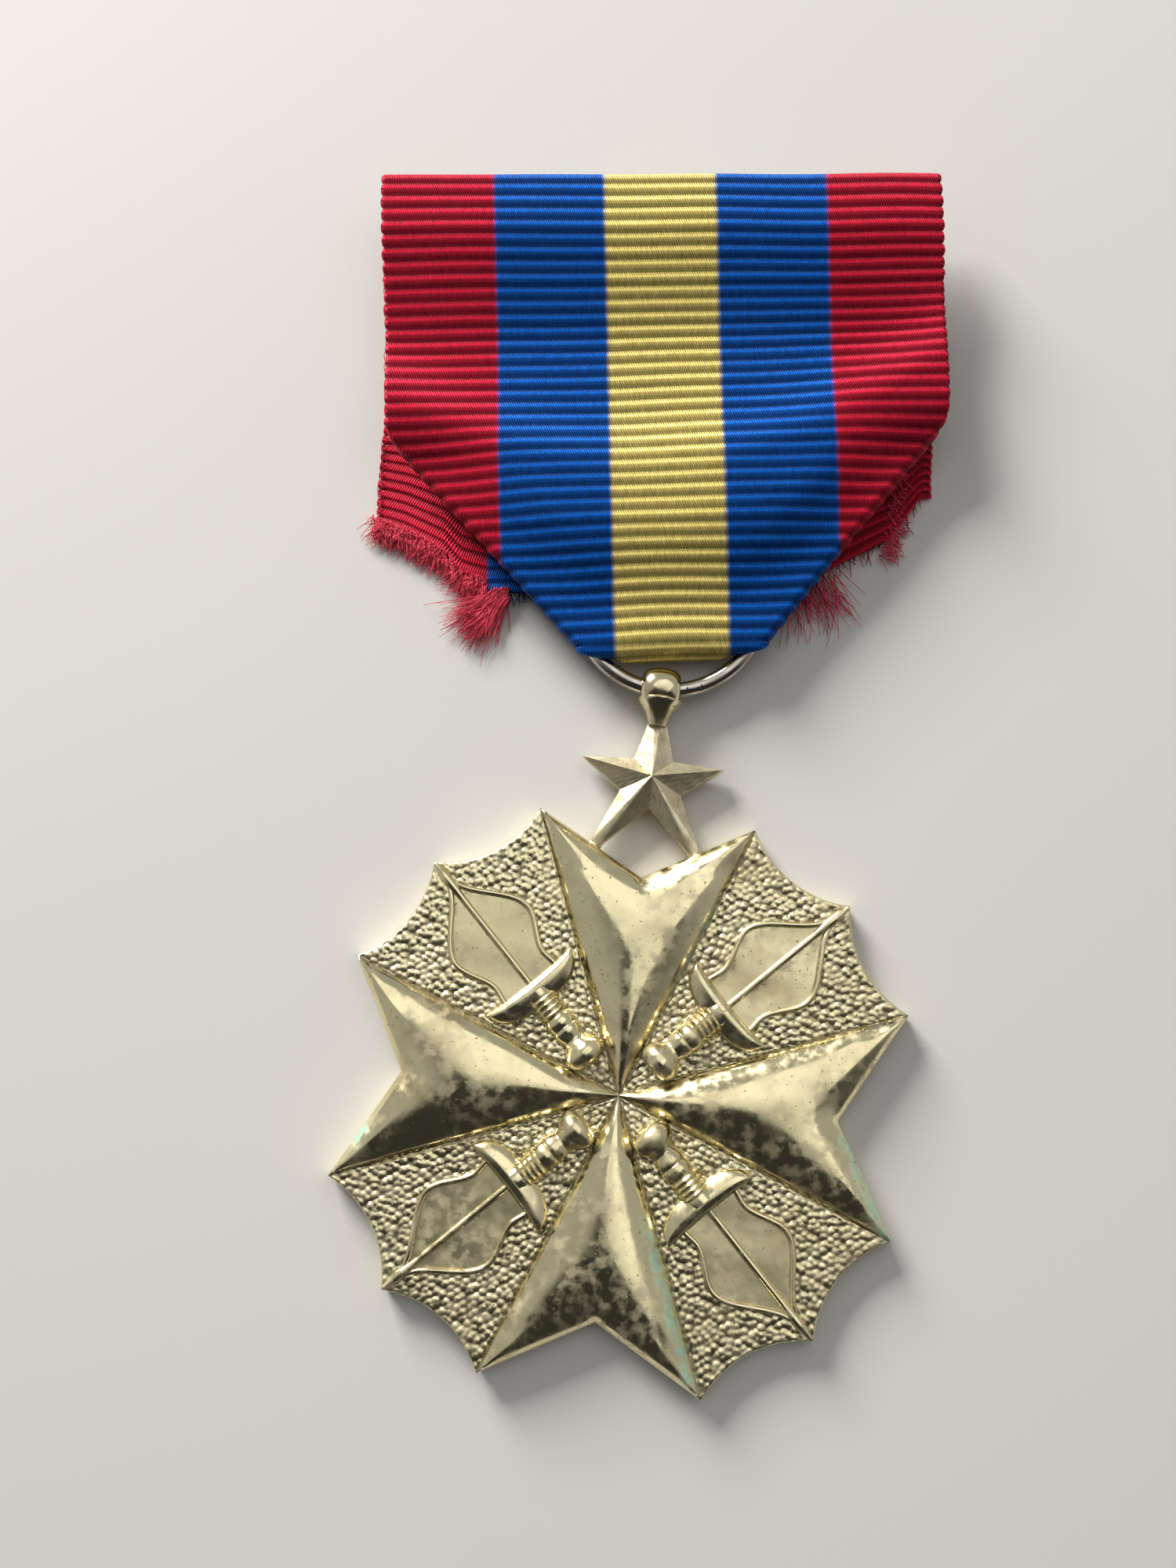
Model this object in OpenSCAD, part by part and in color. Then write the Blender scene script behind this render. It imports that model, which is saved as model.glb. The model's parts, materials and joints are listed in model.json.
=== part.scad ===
// Military service medal: a gilt badge on a star and ring, a folded silk ribbon and a pin brooch.
// It lies on its back on Z = 0, face up, with the ribbon's length along +Y.
// The shapes are drawn about the centre of the suspension ring and moved to the footprint's middle.

/* [Ribbon] */
// Width of the ribbon
ribbon_w = 38; // [31:0.5:46]
// Height of the top fold above the ring's centre
ribbon_top = 29.6; // [24.6:0.2:36]
// Height above the ring's centre where the sides start to fold in
shoulder_y = 11.6; // [9:0.2:14]
// Thickness of one layer of ribbon
layer_t = 0.4; // [0.3:0.02:0.45]
// Width of the straight fold at the bottom
fold_w = 7.2; // [5:0.2:8]
// Width across the rounded heels beside the bottom fold
heel_w = 12; // [10:0.5:14]
// Height of the heels above the bottom fold
heel_rise = 0.9; // [0.5:0.1:1.5]
// Width of the folded tongue that passes through the ring
tongue_w = 6; // [4:0.2:6.2]

/* [Ring and ball] */
// Radius of the ring, to the middle of its wire
ring_r = 6.3; // [5.8:0.1:7.6]
// Diameter of the ring's wire
wire_d = 1.05; // [0.85:0.01:1.27]
// Gap in the ring where its two ends meet
ring_gap = 0.1; // [0.05:0.05:0.3]
// Diameter of the ball eyelet
ball_d = 3; // [2.9:0.1:3.6]
// Width of the ball between its two flat sides
ball_w = 2.3; // [1.8:0.1:2.6]
// Clearance between the ring's wire and the ball's bore
ball_clear = 0.07; // [0.04:0.01:0.15]
// Length of the tapered collar under the ball
collar_len = 1.15; // [0.9:0.05:1.6]

/* [Badge] */
// Turn of the ring and badge from the ribbon's line, clockwise as seen from the front
hang_turn = 7.4; // [0:0.2:10]
// Radius to the tips of the cross's arms
arm_r = 19.6; // [16.3:0.1:23.6]
// Half of the angle that an arm covers at its tips
arm_half_angle = 21.5; // [18:0.5:24]
// Radius to the notch in each arm's end
notch_r = 14.3; // [12:0.1:15]
// Radius to the points of the swords
sword_r = 19.6; // [17:0.1:20]
// Depth of the scallops between the arms and the sword points
scallop = 1.15; // [0.6:0.05:1.6]
// Thickness of the badge at its edge and fields
field_t = 1.5; // [1.2:0.1:2]
// Height of the arms' ridges above the fields
arm_rise = 1.6; // [1:0.1:1.8]
// Radius to the star's points
star_r = 4.95; // [4:0.05:5.4]
// Depth that the star's top point sits in the collar
star_sunk = 0.9; // [0.6:0.05:1.1]
// Length of the stubs from the star's lower points to the arm's edge
stub_len = 0.9; // [0.4:0.05:1.6]

/* [Swords] */
// Distance from the badge's centre to the guards
guard_at = 9.2; // [8.6:0.1:10]
// Length of a guard
guard_len = 7; // [6:0.2:7.4]
// Greatest width of a blade
blade_w = 6.3; // [5:0.1:7]
// Width of a grip
grip_d = 2; // [1.6:0.1:2.4]

/* [Brooch] */
// Distance from the ribbon's sides to the ends of the brooch plate
plate_inset = 2; // [1:0.5:4]
// Height of the brooch plate
plate_h = 6.5; // [5.4:0.1:7.8]
// Thickness of the brooch plate
plate_t = 0.5; // [0.4:0.05:0.7]
// Distance from the plate's ends to the hinge rivet and to the middle of the catch
pin_inset = 3.5; // [2.5:0.5:6]
// Diameter of the pin's wire
pin_d = 0.9; // [0.7:0.05:1.1]
// Diameter of the hinge rivet
rivet_d = 0.8; // [0.6:0.05:1]
// Radial clearance of the pin's eye on its rivet
hinge_clear = 0.04; // [0.03:0.01:0.08]
// Clearance on each side of the pin in its catch
catch_clear = 0.05; // [0.03:0.01:0.1]

/* [Hidden] */
$fn = 48;

// Heights above the surface that the medal lies on
layer_gap = 0.02;
wire_gap = 0.15;
flap_z = layer_t / 2;
tongue_z = flap_z + layer_t + layer_gap;
ring_z = max(tongue_z + layer_t / 2 + wire_gap + wire_d / 2, ball_d / 2);
corner_z = ring_z + wire_d / 2 + wire_gap + layer_t / 2;
front_z = corner_z + layer_t;

// The brooch, from the surface upwards
pin_eye_r = rivet_d / 2 + hinge_clear + 0.5;
pin_z = pin_eye_r;
cloth_gap = 1.2;
plate_z = pin_z + pin_d / 2 + cloth_gap;
bar_t = 0.7;
bar_gap = 0.1;
back_z = plate_z + plate_t + 0.02 + layer_t / 2;
bar_z = back_z + layer_t / 2 + bar_gap;
top_z = bar_z + bar_t + bar_gap + layer_t / 2;
plate_y = ribbon_top - 1.7 - plate_h / 2;
plate_len = ribbon_w - 2 * plate_inset;
pin_span = plate_len - 2 * pin_inset;
hinge_x = pin_span / 2;
catch_x = -pin_span / 2;

// The strip's two bends, and where its layers rise and fall
inside_gap = 0.4;
fold_y = -(ring_r - ball_d / 2 - inside_gap);
fold_bend = (front_z - tongue_z) / 2;
fold_mid_y = fold_y + layer_t / 2 + fold_bend;
top_bend = (top_z - back_z) / 2;
top_mid_y = ribbon_top - layer_t / 2 - top_bend;
above_ring = ring_r + wire_d / 2 + 0.8;
tack_y = above_ring + 3.4;
plate_low = plate_y - plate_h / 2;
dip_y = plate_low - 5.4;
dip_z = front_z - 0.2;
crest_y = plate_low + 2.6;
flap_drop = 4.7;
flap_end = 2;

// Joins and overlaps of pieces that are sewn, brazed or soldered
join = 0.15;
thread_d = 0.3;
sew_hole_d = 1;

// The badge's own derived sizes, and how star and badge follow on from the ring
ball_bore_r = wire_d / 2 + (ring_r - sqrt(ring_r * ring_r - ball_w * ball_w / 4)) + ball_clear;
collar_from = ball_bore_r + 0.1;
collar_end = collar_from + collar_len + 0.2;
star_drop = ring_r + collar_end + star_r - star_sunk;
arm_edge_slope = (arm_r * cos(arm_half_angle) - notch_r) / (arm_r * sin(arm_half_angle));
badge_drop = star_drop + star_r * sin(54) + stub_len + notch_r + arm_edge_slope * star_r * cos(54);
star_inner_r = star_r * 0.415;
star_low = 0.5;
star_edge_t = 0.9;
star_peak = 0.9;
blade_lift = 0.25;
pommel_at = 3.1;

// ---- points and curves ----

function polar(r, a) = [r * cos(a), r * sin(a)];
function smooth(t) = t * t * (3 - 2 * t);

// A shallow curve from a to b whose middle stands off to the right of the way from a to b
function bow(a, b, depth, steps = 10) =
    let (d = b - a, n = [d[1], -d[0]] / norm(d))
    [for (i = [1:steps - 1]) let (t = i / steps) a + d * t + n * depth * 4 * t * (1 - t)];

// An S-shaped rise between two levels
function s_rise(a, b, steps = 10) =
    [for (i = [0:steps]) [a[0] + (b[0] - a[0]) * i / steps, a[1] + (b[1] - a[1]) * smooth(i / steps)]];

// Part of a circle about c
function sweep(c, r, from, to, steps = 10) =
    [for (i = [0:steps]) c + polar(r, from + (to - from) * i / steps)];

// The sideways direction at point i of a path
function side(path, i) =
    let (a = path[max(i - 1, 0)], b = path[min(i + 1, len(path) - 1)], d = (b - a) / norm(b - a))
    [-d[1], d[0]];

// The outline of a band of thickness t along a path
function band(path, t) = concat(
    [for (i = [0:len(path) - 1]) path[i] + side(path, i) * t / 2],
    [for (i = [len(path) - 1:-1:0]) path[i] - side(path, i) * t / 2]);

// ---- the badge's outline ----

function arm_axis(k) = 90 - 90 * k;
function left_tip(k) = polar(arm_r, arm_axis(k) + arm_half_angle);
function right_tip(k) = polar(arm_r, arm_axis(k) - arm_half_angle);
function notch(k) = polar(notch_r, arm_axis(k));
function sword_point(k) = polar(sword_r, arm_axis(k) - 45);
badge_outline = [for (k = [0:3]) each concat(
    [left_tip(k), notch(k), right_tip(k)], bow(right_tip(k), sword_point(k), scallop),
    [sword_point(k)], bow(sword_point(k), left_tip(k + 1), scallop))];

// ---- the footprint, which places the origin ----

function hung(p) = [p[0] * cos(hang_turn) + p[1] * sin(hang_turn),
                    -p[0] * sin(hang_turn) + p[1] * cos(hang_turn)];
badge_points = [for (p = badge_outline) hung(p - [0, badge_drop])];
low_x = min([for (p = badge_points) p[0]]);
high_x = max([for (p = badge_points) p[0]]);
low_y = min([for (p = badge_points) p[1]]);
middle = [(min(low_x, -ribbon_w / 2) + max(high_x, ribbon_w / 2)) / 2, (low_y + ribbon_top) / 2];

module in_place() {
    translate([-middle[0], -middle[1], 0]) children();
}

module hanging() {
    in_place() rotate([0, 0, -hang_turn]) children();
}

// ---- ribbon ----

// A path in Y and Z becomes a strip of ribbon across X
module strip(path, width) {
    translate([-width / 2, 0, 0])
        rotate([90, 0, 90])
            linear_extrude(height = width) polygon(band(path, layer_t));
}

tongue_path = concat(
    [[tack_y + 1.5, corner_z]],
    s_rise([tack_y - 0.6, corner_z], [above_ring - 0.4, tongue_z]),
    sweep([fold_mid_y, (front_z + tongue_z) / 2], fold_bend, 270, 90, 16),
    [[fold_mid_y + 1, front_z]]);
front_path = concat(
    [[fold_y - 0.01, front_z]],
    s_rise([above_ring, front_z], [dip_y, dip_z]),
    s_rise([dip_y + 0.2, dip_z], [crest_y, top_z]),
    sweep([top_mid_y, (top_z + back_z) / 2], top_bend, 90, 0, 8));
flap_path = concat(
    sweep([top_mid_y, (top_z + back_z) / 2], top_bend, 0, -90, 8),
    s_rise([plate_low - 0.2, back_z], [plate_low - 0.2 - flap_drop, flap_z]),
    [[flap_end, flap_z]]);

heel_y = fold_y + heel_rise;
front_outline = [
    [-ribbon_w / 2, ribbon_top + 1], [-ribbon_w / 2, shoulder_y], [-heel_w / 2, heel_y],
    [-fold_w / 2, fold_y], [fold_w / 2, fold_y], [heel_w / 2, heel_y],
    [ribbon_w / 2, shoulder_y], [ribbon_w / 2, ribbon_top + 1]];

// A corner folded back behind the front, bounded by the line its selvedge takes
module folded_corner() {
    slope = (shoulder_y - heel_y) / (ribbon_w / 2 - heel_w / 2);
    lean = 2 * atan(slope) - 90;
    inner_x = heel_w / 2 + 0.3;
    inner_low = heel_y + 0.3 * slope;
    inner_high = shoulder_y - (ribbon_w / 2 - inner_x) * tan(lean);
    translate([0, 0, corner_z - layer_t / 2])
        linear_extrude(height = layer_t)
            polygon([[ribbon_w / 2, shoulder_y], [inner_x, inner_low], [inner_x, inner_high]]);
}

module ribbon() {
    color("firebrick") in_place() {
        intersection() {
            strip(front_path, ribbon_w);
            linear_extrude(height = top_z + layer_t) polygon(front_outline);
        }
        strip(flap_path, ribbon_w);
        strip(tongue_path, tongue_w);
        folded_corner();
        mirror([1, 0, 0]) folded_corner();
    }
}

// ---- brooch ----

bar_h = 1.8;
sew_x = plate_len / 2 - 2.2;
sew_y = plate_y + plate_h / 2 - 1.3;
foot_y = plate_y - plate_h / 2 + 1.3;
sew_points = [[-sew_x, sew_y], [sew_x, sew_y], [-sew_x, foot_y], [sew_x, foot_y]];

module top_bar() {
    color("darkgoldenrod") in_place()
        translate([-ribbon_w / 2 + 0.6, top_mid_y - bar_h, bar_z])
            cube([ribbon_w - 1.2, bar_h + 0.1, bar_t]);
}

module brooch_plate() {
    corner_r = 1;
    color("goldenrod") in_place()
        difference() {
            translate([0, plate_y, plate_z]) linear_extrude(height = plate_t) union() {
                square([plate_len - 2 * corner_r, plate_h], center = true);
                square([plate_len, plate_h - 2 * corner_r], center = true);
                for (x = [-1, 1], y = [-1, 1])
                    translate([x * (plate_len / 2 - corner_r), y * (plate_h / 2 - corner_r)])
                        circle(r = corner_r);
            }
            for (p = sew_points)
                translate([p[0], p[1], plate_z - 1]) cylinder(d = sew_hole_d, h = plate_t + 2);
        }
}

eye_w = 1.2;
ear_gap = 0.05;
ear_t = 0.4;
ear_r = pin_eye_r - 0.14;
bracket_t = 0.3;
bracket_len = 4;
ear_out = eye_w / 2 + ear_gap + ear_t;

module hinge_bracket() {
    color("goldenrod") in_place() {
        translate([hinge_x - bracket_len / 2, plate_y - ear_out, plate_z - bracket_t])
            cube([bracket_len, 2 * ear_out, bracket_t]);
        for (s = [-1, 1])
            translate([hinge_x, plate_y + s * (ear_out - ear_t / 2), pin_z])
                rotate([90, 0, 0])
                    difference() {
                        union() {
                            cylinder(r = ear_r, h = ear_t, center = true);
                            translate([-ear_r, 0, -ear_t / 2])
                                cube([2 * ear_r, plate_z - pin_z - bracket_t + 0.01, ear_t]);
                        }
                        cylinder(d = rivet_d, h = ear_t + 1, center = true);
                    }
    }
}

module hinge_rivet() {
    head_t = 0.25;
    head_d = rivet_d + 0.5;
    color("silver") in_place()
        translate([hinge_x, plate_y, pin_z])
            rotate([90, 0, 0]) {
                cylinder(d = rivet_d, h = 2 * ear_out, center = true);
                for (s = [-1, 1])
                    translate([0, 0, s * (ear_out + head_t / 2)])
                        cylinder(d = head_d, h = head_t, center = true);
            }
}

cheek_t = 0.4;
catch_w = 1.8;
cheek_gap = pin_d / 2 + catch_clear;

module clip_catch() {
    color("goldenrod") in_place() {
        translate([catch_x - catch_w / 2, plate_y - cheek_gap - cheek_t, plate_z - bracket_t])
            cube([catch_w, 2 * (cheek_gap + cheek_t), bracket_t]);
        for (s = [0, 1])
            mirror([0, s, 0])
                translate([catch_x - catch_w / 2, (1 - 2 * s) * plate_y + cheek_gap, 0.15])
                    cube([catch_w, cheek_t, plate_z - bracket_t - 0.14]);
    }
}

module brooch_pin() {
    point_len = 4.2;
    shank_len = pin_span - catch_w / 2 - 0.3;
    color("silver") in_place()
        translate([hinge_x, plate_y, pin_z])
            difference() {
                union() {
                    rotate([90, 0, 0]) cylinder(r = pin_eye_r, h = eye_w, center = true);
                    rotate([0, -90, 0]) {
                        translate([0, 0, rivet_d]) cylinder(d = pin_d, h = shank_len - rivet_d);
                        translate([0, 0, shank_len]) cylinder(d1 = pin_d, d2 = 0.1, h = point_len);
                    }
                }
                rotate([90, 0, 0]) cylinder(r = rivet_d / 2 + hinge_clear, h = eye_w + 1, center = true);
            }
}

// A thread goes up through a hole, back over the plate's edge and into the ribbon
module stitch(p) {
    out = p[1] > plate_y ? 1 : -1;
    reach = plate_h / 2 + 0.35 - abs(p[1] - plate_y);
    low = plate_z - thread_d / 2 - 0.02;
    translate([p[0], p[1], low]) {
        sphere(d = thread_d);
        cylinder(d = thread_d, h = plate_t + 0.45);
        rotate([-90 * out, 0, 0]) cylinder(d = thread_d, h = reach);
        translate([0, out * reach, 0]) sphere(d = thread_d);
        translate([0, out * reach, 0]) cylinder(d = thread_d, h = plate_t + 0.45);
    }
}

module plate_stitches() {
    color("darkred") in_place()
        for (p = sew_points)
            stitch(p);
}

// Short stitches that hold the strip's end to the back of the front layer
module corner_tacks() {
    tack_len = 0.9;
    low = corner_z - layer_t / 2 - thread_d / 2 + 0.02;
    color("darkred") in_place()
        for (x = [-1, 1], row = [0, 1])
            translate([x * (tongue_w / 2 - 0.9), tack_y + 0.2 + row * 0.8, low])
                rotate([0, 90, 0]) cylinder(d = thread_d, h = tack_len, center = true);
}

// ---- ring, ball and star ----

module suspension_ring() {
    open_angle = 2 * asin(ring_gap / 2 / ring_r);
    color("silver") hanging()
        translate([0, 0, ring_z])
            rotate([0, 0, 90 + open_angle / 2])
                rotate_extrude(angle = 360 - open_angle)
                    translate([ring_r, 0]) circle(d = wire_d);
}

module ball_eyelet() {
    ball_r = ball_d / 2;
    rim_r = ball_w / 2 + 0.25;
    neck_r = 0.65;
    color("khaki") hanging()
        translate([0, -ring_r, ring_z]) {
            rotate([0, 90, 0]) rotate_extrude()
                intersection() {
                    circle(r = ball_r);
                    translate([ball_bore_r, -ball_w / 2]) square([ball_d, ball_w]);
                }
            rotate([90, 0, 0]) rotate_extrude()
                polygon([[0, collar_from], [ball_w / 2 - 0.15, collar_from], [rim_r, collar_from + 0.3],
                         [rim_r - 0.1, collar_from + 0.55], [neck_r, collar_end], [0, collar_end]]);
        }
}

star_points = [for (i = [0:9]) polar(i % 2 == 0 ? star_r : star_inner_r, 90 + 36 * i)];

// The star: an upright edge all round, and ten facets that meet at a raised middle
module star_body() {
    top = star_low + star_edge_t;
    polyhedron(
        points = concat([for (p = star_points) [p[0], p[1], star_low]],
                        [for (p = star_points) [p[0], p[1], top]], [[0, 0, top + star_peak]]),
        faces = concat([[for (i = [0:9]) i]],
                       [for (i = [0:9]) [i, i + 10, (i + 1) % 10 + 10, (i + 1) % 10]],
                       [for (i = [0:9]) [(i + 1) % 10 + 10, i + 10, 20]]));
}

foot_w = 1;
foot_x = (star_r - 0.35) * cos(54);
foot_top = -star_drop - (star_r - 0.9) * sin(54);
arm_edge_y = -badge_drop + notch_r + arm_edge_slope * (foot_x + foot_w / 2);

module star_suspender() {
    color("khaki") hanging() {
        translate([0, -star_drop, 0]) star_body();
        for (s = [-1, 1])
            translate([s * foot_x - foot_w / 2, arm_edge_y - join - 0.3, star_low])
                cube([foot_w, foot_top - arm_edge_y + join + 0.3, star_edge_t - 0.1]);
    }
}

// ---- badge ----

// One arm of the cross: four sloping faces that rise from its edges to a peak before the notch
module arm_roof(k) {
    low = field_t - 0.1;
    peak_r = notch_r - 2.6;
    base = [[0, 0], right_tip(k), notch(k), left_tip(k)];
    peak = polar(peak_r, arm_axis(k));
    polyhedron(
        points = concat([for (p = base) [p[0], p[1], low]], [[peak[0], peak[1], field_t + arm_rise]]),
        faces = [[0, 1, 2, 3], [1, 0, 4], [2, 1, 4], [3, 2, 4], [0, 3, 4]]);
}

// Half of a blade's width at a share s of its length from the guard
function blade_half(s) = s < 0.44
    ? blade_w * (0.31 + 0.19 * smooth(s / 0.44))
    : 0.12 + (blade_w / 2 - 0.12) * (1 - smooth(min((s - 0.44) / 0.46, 1)));

// A short sword with a leaf-shaped blade, lying in the field along +X
module sword() {
    blade_len = sword_r - 0.5 - guard_at;
    steps = 24;
    lift = field_t - 0.1;
    edge = [for (i = [0:steps]) [guard_at + blade_len * i / steps, blade_half(i / steps)]];
    guard_depth = 1.2;
    guard_r = (guard_len * guard_len / 4 + guard_depth * guard_depth) / (2 * guard_depth);
    translate([0, 0, lift])
        linear_extrude(height = blade_lift + 0.1)
            polygon(concat(edge, [for (i = [steps:-1:0]) [edge[i][0], -edge[i][1]]]));
    translate([0, 0, lift])
        linear_extrude(height = 0.9)
            intersection() {
                translate([guard_at - guard_depth + guard_r, 0]) circle(r = guard_r);
                translate([guard_at - guard_depth, -guard_len / 2]) square([guard_depth, guard_len]);
            }
    intersection() {
        translate([pommel_at, 0, field_t - 0.1]) {
            rotate([0, 90, 0]) cylinder(d = grip_d, h = guard_at - guard_depth - pommel_at + 0.4);
            scale(grip_d / 2) sphere(r = 1.25);
        }
        translate([0, -grip_d * 2, field_t - 0.2]) cube([guard_at, grip_d * 4, 4]);
    }
}

module cross_badge() {
    color("gold") hanging()
        translate([0, -badge_drop, 0]) {
            linear_extrude(height = field_t) polygon(badge_outline);
            for (k = [0:3]) {
                arm_roof(k);
                rotate([0, 0, arm_axis(k) - 45]) sword();
            }
        }
}

ribbon();
top_bar();
brooch_plate();
hinge_bracket();
hinge_rivet();
clip_catch();
plate_stitches();
corner_tacks();
brooch_pin();
suspension_ring();
ball_eyelet();
star_suspender();
cross_badge();
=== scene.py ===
"""A military service medal: a gilt cross on a star and ring, a folded striped ribbon and a pin brooch.

The medal lies face up on a pale table. All sizes in the sections are millimetres, and every mesh is
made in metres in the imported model's own frame.
"""

import json
import math

import bpy
import numpy as np
from mathutils import Matrix, Vector

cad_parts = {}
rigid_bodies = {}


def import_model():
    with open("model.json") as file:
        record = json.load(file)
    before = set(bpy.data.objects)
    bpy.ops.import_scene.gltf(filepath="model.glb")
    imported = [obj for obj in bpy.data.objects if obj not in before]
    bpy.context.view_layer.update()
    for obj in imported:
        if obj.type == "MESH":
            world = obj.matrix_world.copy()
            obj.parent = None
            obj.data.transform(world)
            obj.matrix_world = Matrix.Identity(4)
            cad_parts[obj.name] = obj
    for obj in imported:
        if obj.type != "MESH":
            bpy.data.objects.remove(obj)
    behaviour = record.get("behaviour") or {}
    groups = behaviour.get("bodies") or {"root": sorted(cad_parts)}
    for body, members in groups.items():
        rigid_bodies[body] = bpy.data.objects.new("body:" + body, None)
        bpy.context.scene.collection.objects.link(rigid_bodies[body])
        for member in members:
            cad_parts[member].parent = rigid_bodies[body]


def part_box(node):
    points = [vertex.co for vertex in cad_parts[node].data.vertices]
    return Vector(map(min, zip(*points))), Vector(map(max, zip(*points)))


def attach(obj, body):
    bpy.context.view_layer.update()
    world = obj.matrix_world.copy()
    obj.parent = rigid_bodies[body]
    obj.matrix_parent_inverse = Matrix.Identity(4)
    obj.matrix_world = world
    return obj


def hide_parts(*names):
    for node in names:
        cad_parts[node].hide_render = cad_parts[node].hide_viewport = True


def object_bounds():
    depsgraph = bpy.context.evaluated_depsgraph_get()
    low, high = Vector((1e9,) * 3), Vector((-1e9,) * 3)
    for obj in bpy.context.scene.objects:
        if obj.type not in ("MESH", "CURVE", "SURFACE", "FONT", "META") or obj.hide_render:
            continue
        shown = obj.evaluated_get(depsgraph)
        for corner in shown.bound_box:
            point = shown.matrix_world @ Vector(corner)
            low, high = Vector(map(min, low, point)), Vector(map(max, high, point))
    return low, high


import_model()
cad_low, cad_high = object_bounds()

MM = 0.001


# ---------------------------------------------------------------------------------------------
# Camera, table and light
# A plain pale table, a strong soft lamp low beyond the medal's head on the left, a wide weak one
# overhead on the right, a dim room, and a camera that looks down on the medal from its foot.

ring_low, ring_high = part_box("suspension_ring")
ring_at = (ring_low + ring_high) / 2
badge_low, badge_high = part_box("cross_badge")
badge_at = (badge_low + badge_high) / 2
hang_turn = math.atan2(ring_at.x - badge_at.x, ring_at.y - badge_at.y)

EYE = (-2.38, -28.34, 105.14)
VIEW = (-0.0332, 0.1508, -0.9880)
VIEW_UP = (0.0252, 0.9884, 0.1500)
TABLE_HALF = 1.5


def place_camera():
    """The eye is 109 mm from the ring, above the medal's lower half, and turned a trifle."""
    eye = Vector(EYE) * MM + Vector((ring_at.x, ring_at.y, 0))
    back = -Vector(VIEW).normalized()
    right = Vector(VIEW_UP).cross(back).normalized()
    up = back.cross(right)
    data = bpy.data.cameras.new("camera")
    data.sensor_fit = "HORIZONTAL"
    data.sensor_width = 36
    data.lens = 48
    data.clip_start = 0.005
    data.clip_end = 20
    camera = bpy.data.objects.new("camera", data)
    turn = Matrix((right, up, back)).transposed().to_4x4()
    camera.matrix_world = Matrix.Translation(eye) @ turn
    bpy.context.scene.collection.objects.link(camera)
    bpy.context.scene.camera = camera


def soft_lamp(name, where, width, watts, colour):
    """A square lamp that faces the medal's middle."""
    data = bpy.data.lights.new(name, "AREA")
    data.shape = "SQUARE"
    data.size = width
    data.energy = watts
    data.color = colour
    lamp = bpy.data.objects.new(name, data)
    facing = Vector(where).to_track_quat("Z", "Y").to_matrix().to_4x4()
    lamp.matrix_world = Matrix.Translation(where) @ facing
    bpy.context.scene.collection.objects.link(lamp)


def new_material(name, **settings):
    """A Principled material, with the values that are the same all over set on its own sockets."""
    material = bpy.data.materials.new(name)
    material.use_nodes = True
    surface = material.node_tree.nodes["Principled BSDF"]
    for socket, value in settings.items():
        surface.inputs[socket.replace("_", " ")].default_value = value
    return material, material.node_tree.nodes, material.node_tree.links, surface


def node_tools(nodes, links):
    """Short ways to add maths, noise and colour steps to one material or to the world."""

    def feed(socket, value):
        if hasattr(value, "links"):
            links.new(value, socket)
        elif value is not None:
            socket.default_value = value

    def sums(kind, a, b=None):
        made = nodes.new("ShaderNodeMath")
        made.operation = kind
        feed(made.inputs[0], a)
        feed(made.inputs[1], b)
        return made.outputs[0]

    def noise(where, scale, detail=2.0, low=0.35, high=0.65):
        made = nodes.new("ShaderNodeTexNoise")
        made.inputs["Scale"].default_value = scale
        made.inputs["Detail"].default_value = detail
        links.new(where, made.inputs["Vector"])
        spread = nodes.new("ShaderNodeMapRange")
        spread.inputs["From Min"].default_value = low
        spread.inputs["From Max"].default_value = high
        links.new(made.outputs["Fac"], spread.inputs["Value"])
        return spread.outputs["Result"]

    def mix(share, a, b):
        made = nodes.new("ShaderNodeMix")
        made.data_type = "RGBA"
        feed(made.inputs["Factor"], share)
        feed(made.inputs["A"], a)
        feed(made.inputs["B"], b)
        return made.outputs["Result"]

    return sums, noise, mix


def table_material():
    """Pale matt board with a faint cloud in its tone."""
    material, nodes, links, surface = new_material("table_board", Roughness=0.75)
    _, noise, mix = node_tools(nodes, links)
    cloud = noise(nodes.new("ShaderNodeTexCoord").outputs["Object"], 6, 2.0, 0, 1)
    tone = mix(cloud, (0.60, 0.585, 0.56, 1), (0.68, 0.665, 0.64, 1))
    links.new(tone, surface.inputs["Base Color"])
    return material


def table():
    """The table top, wide enough to fill the view and to fade off behind."""
    mesh = bpy.data.meshes.new("table")
    corners = [(x * TABLE_HALF, y * TABLE_HALF, 0) for x, y in ((-1, -1), (1, -1), (1, 1), (-1, 1))]
    mesh.from_pydata(corners, [], [(0, 1, 2, 3)])
    mesh.materials.append(table_material())
    board = bpy.data.objects.new("table", mesh)
    board.location.z = cad_low.z - 0.0001
    bpy.context.scene.collection.objects.link(board)


def room_light(world):
    """Soft light from a pale room: brighter at the head and the sides, darker overhead and at the foot."""
    nodes, links = world.node_tree.nodes, world.node_tree.links
    sums, _, _ = node_tools(nodes, links)
    split = nodes.new("ShaderNodeSeparateXYZ")
    links.new(nodes.new("ShaderNodeTexCoord").outputs["Generated"], split.inputs["Vector"])
    sideways = sums("MULTIPLY", sums("ABSOLUTE", split.outputs["X"]), 0.8)
    facing = sums("ADD", sideways, split.outputs["Y"])
    spread = nodes.new("ShaderNodeMapRange")
    spread.interpolation_type = "SMOOTHSTEP"
    spread.inputs["From Min"].default_value = 0.04
    spread.inputs["From Max"].default_value = 0.36
    spread.inputs["To Min"].default_value = 0.035
    spread.inputs["To Max"].default_value = 0.40
    links.new(facing, spread.inputs["Value"])
    background = nodes["Background"]
    background.inputs["Color"].default_value = (0.94, 0.95, 0.96, 1)
    links.new(spread.outputs["Result"], background.inputs["Strength"])


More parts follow.
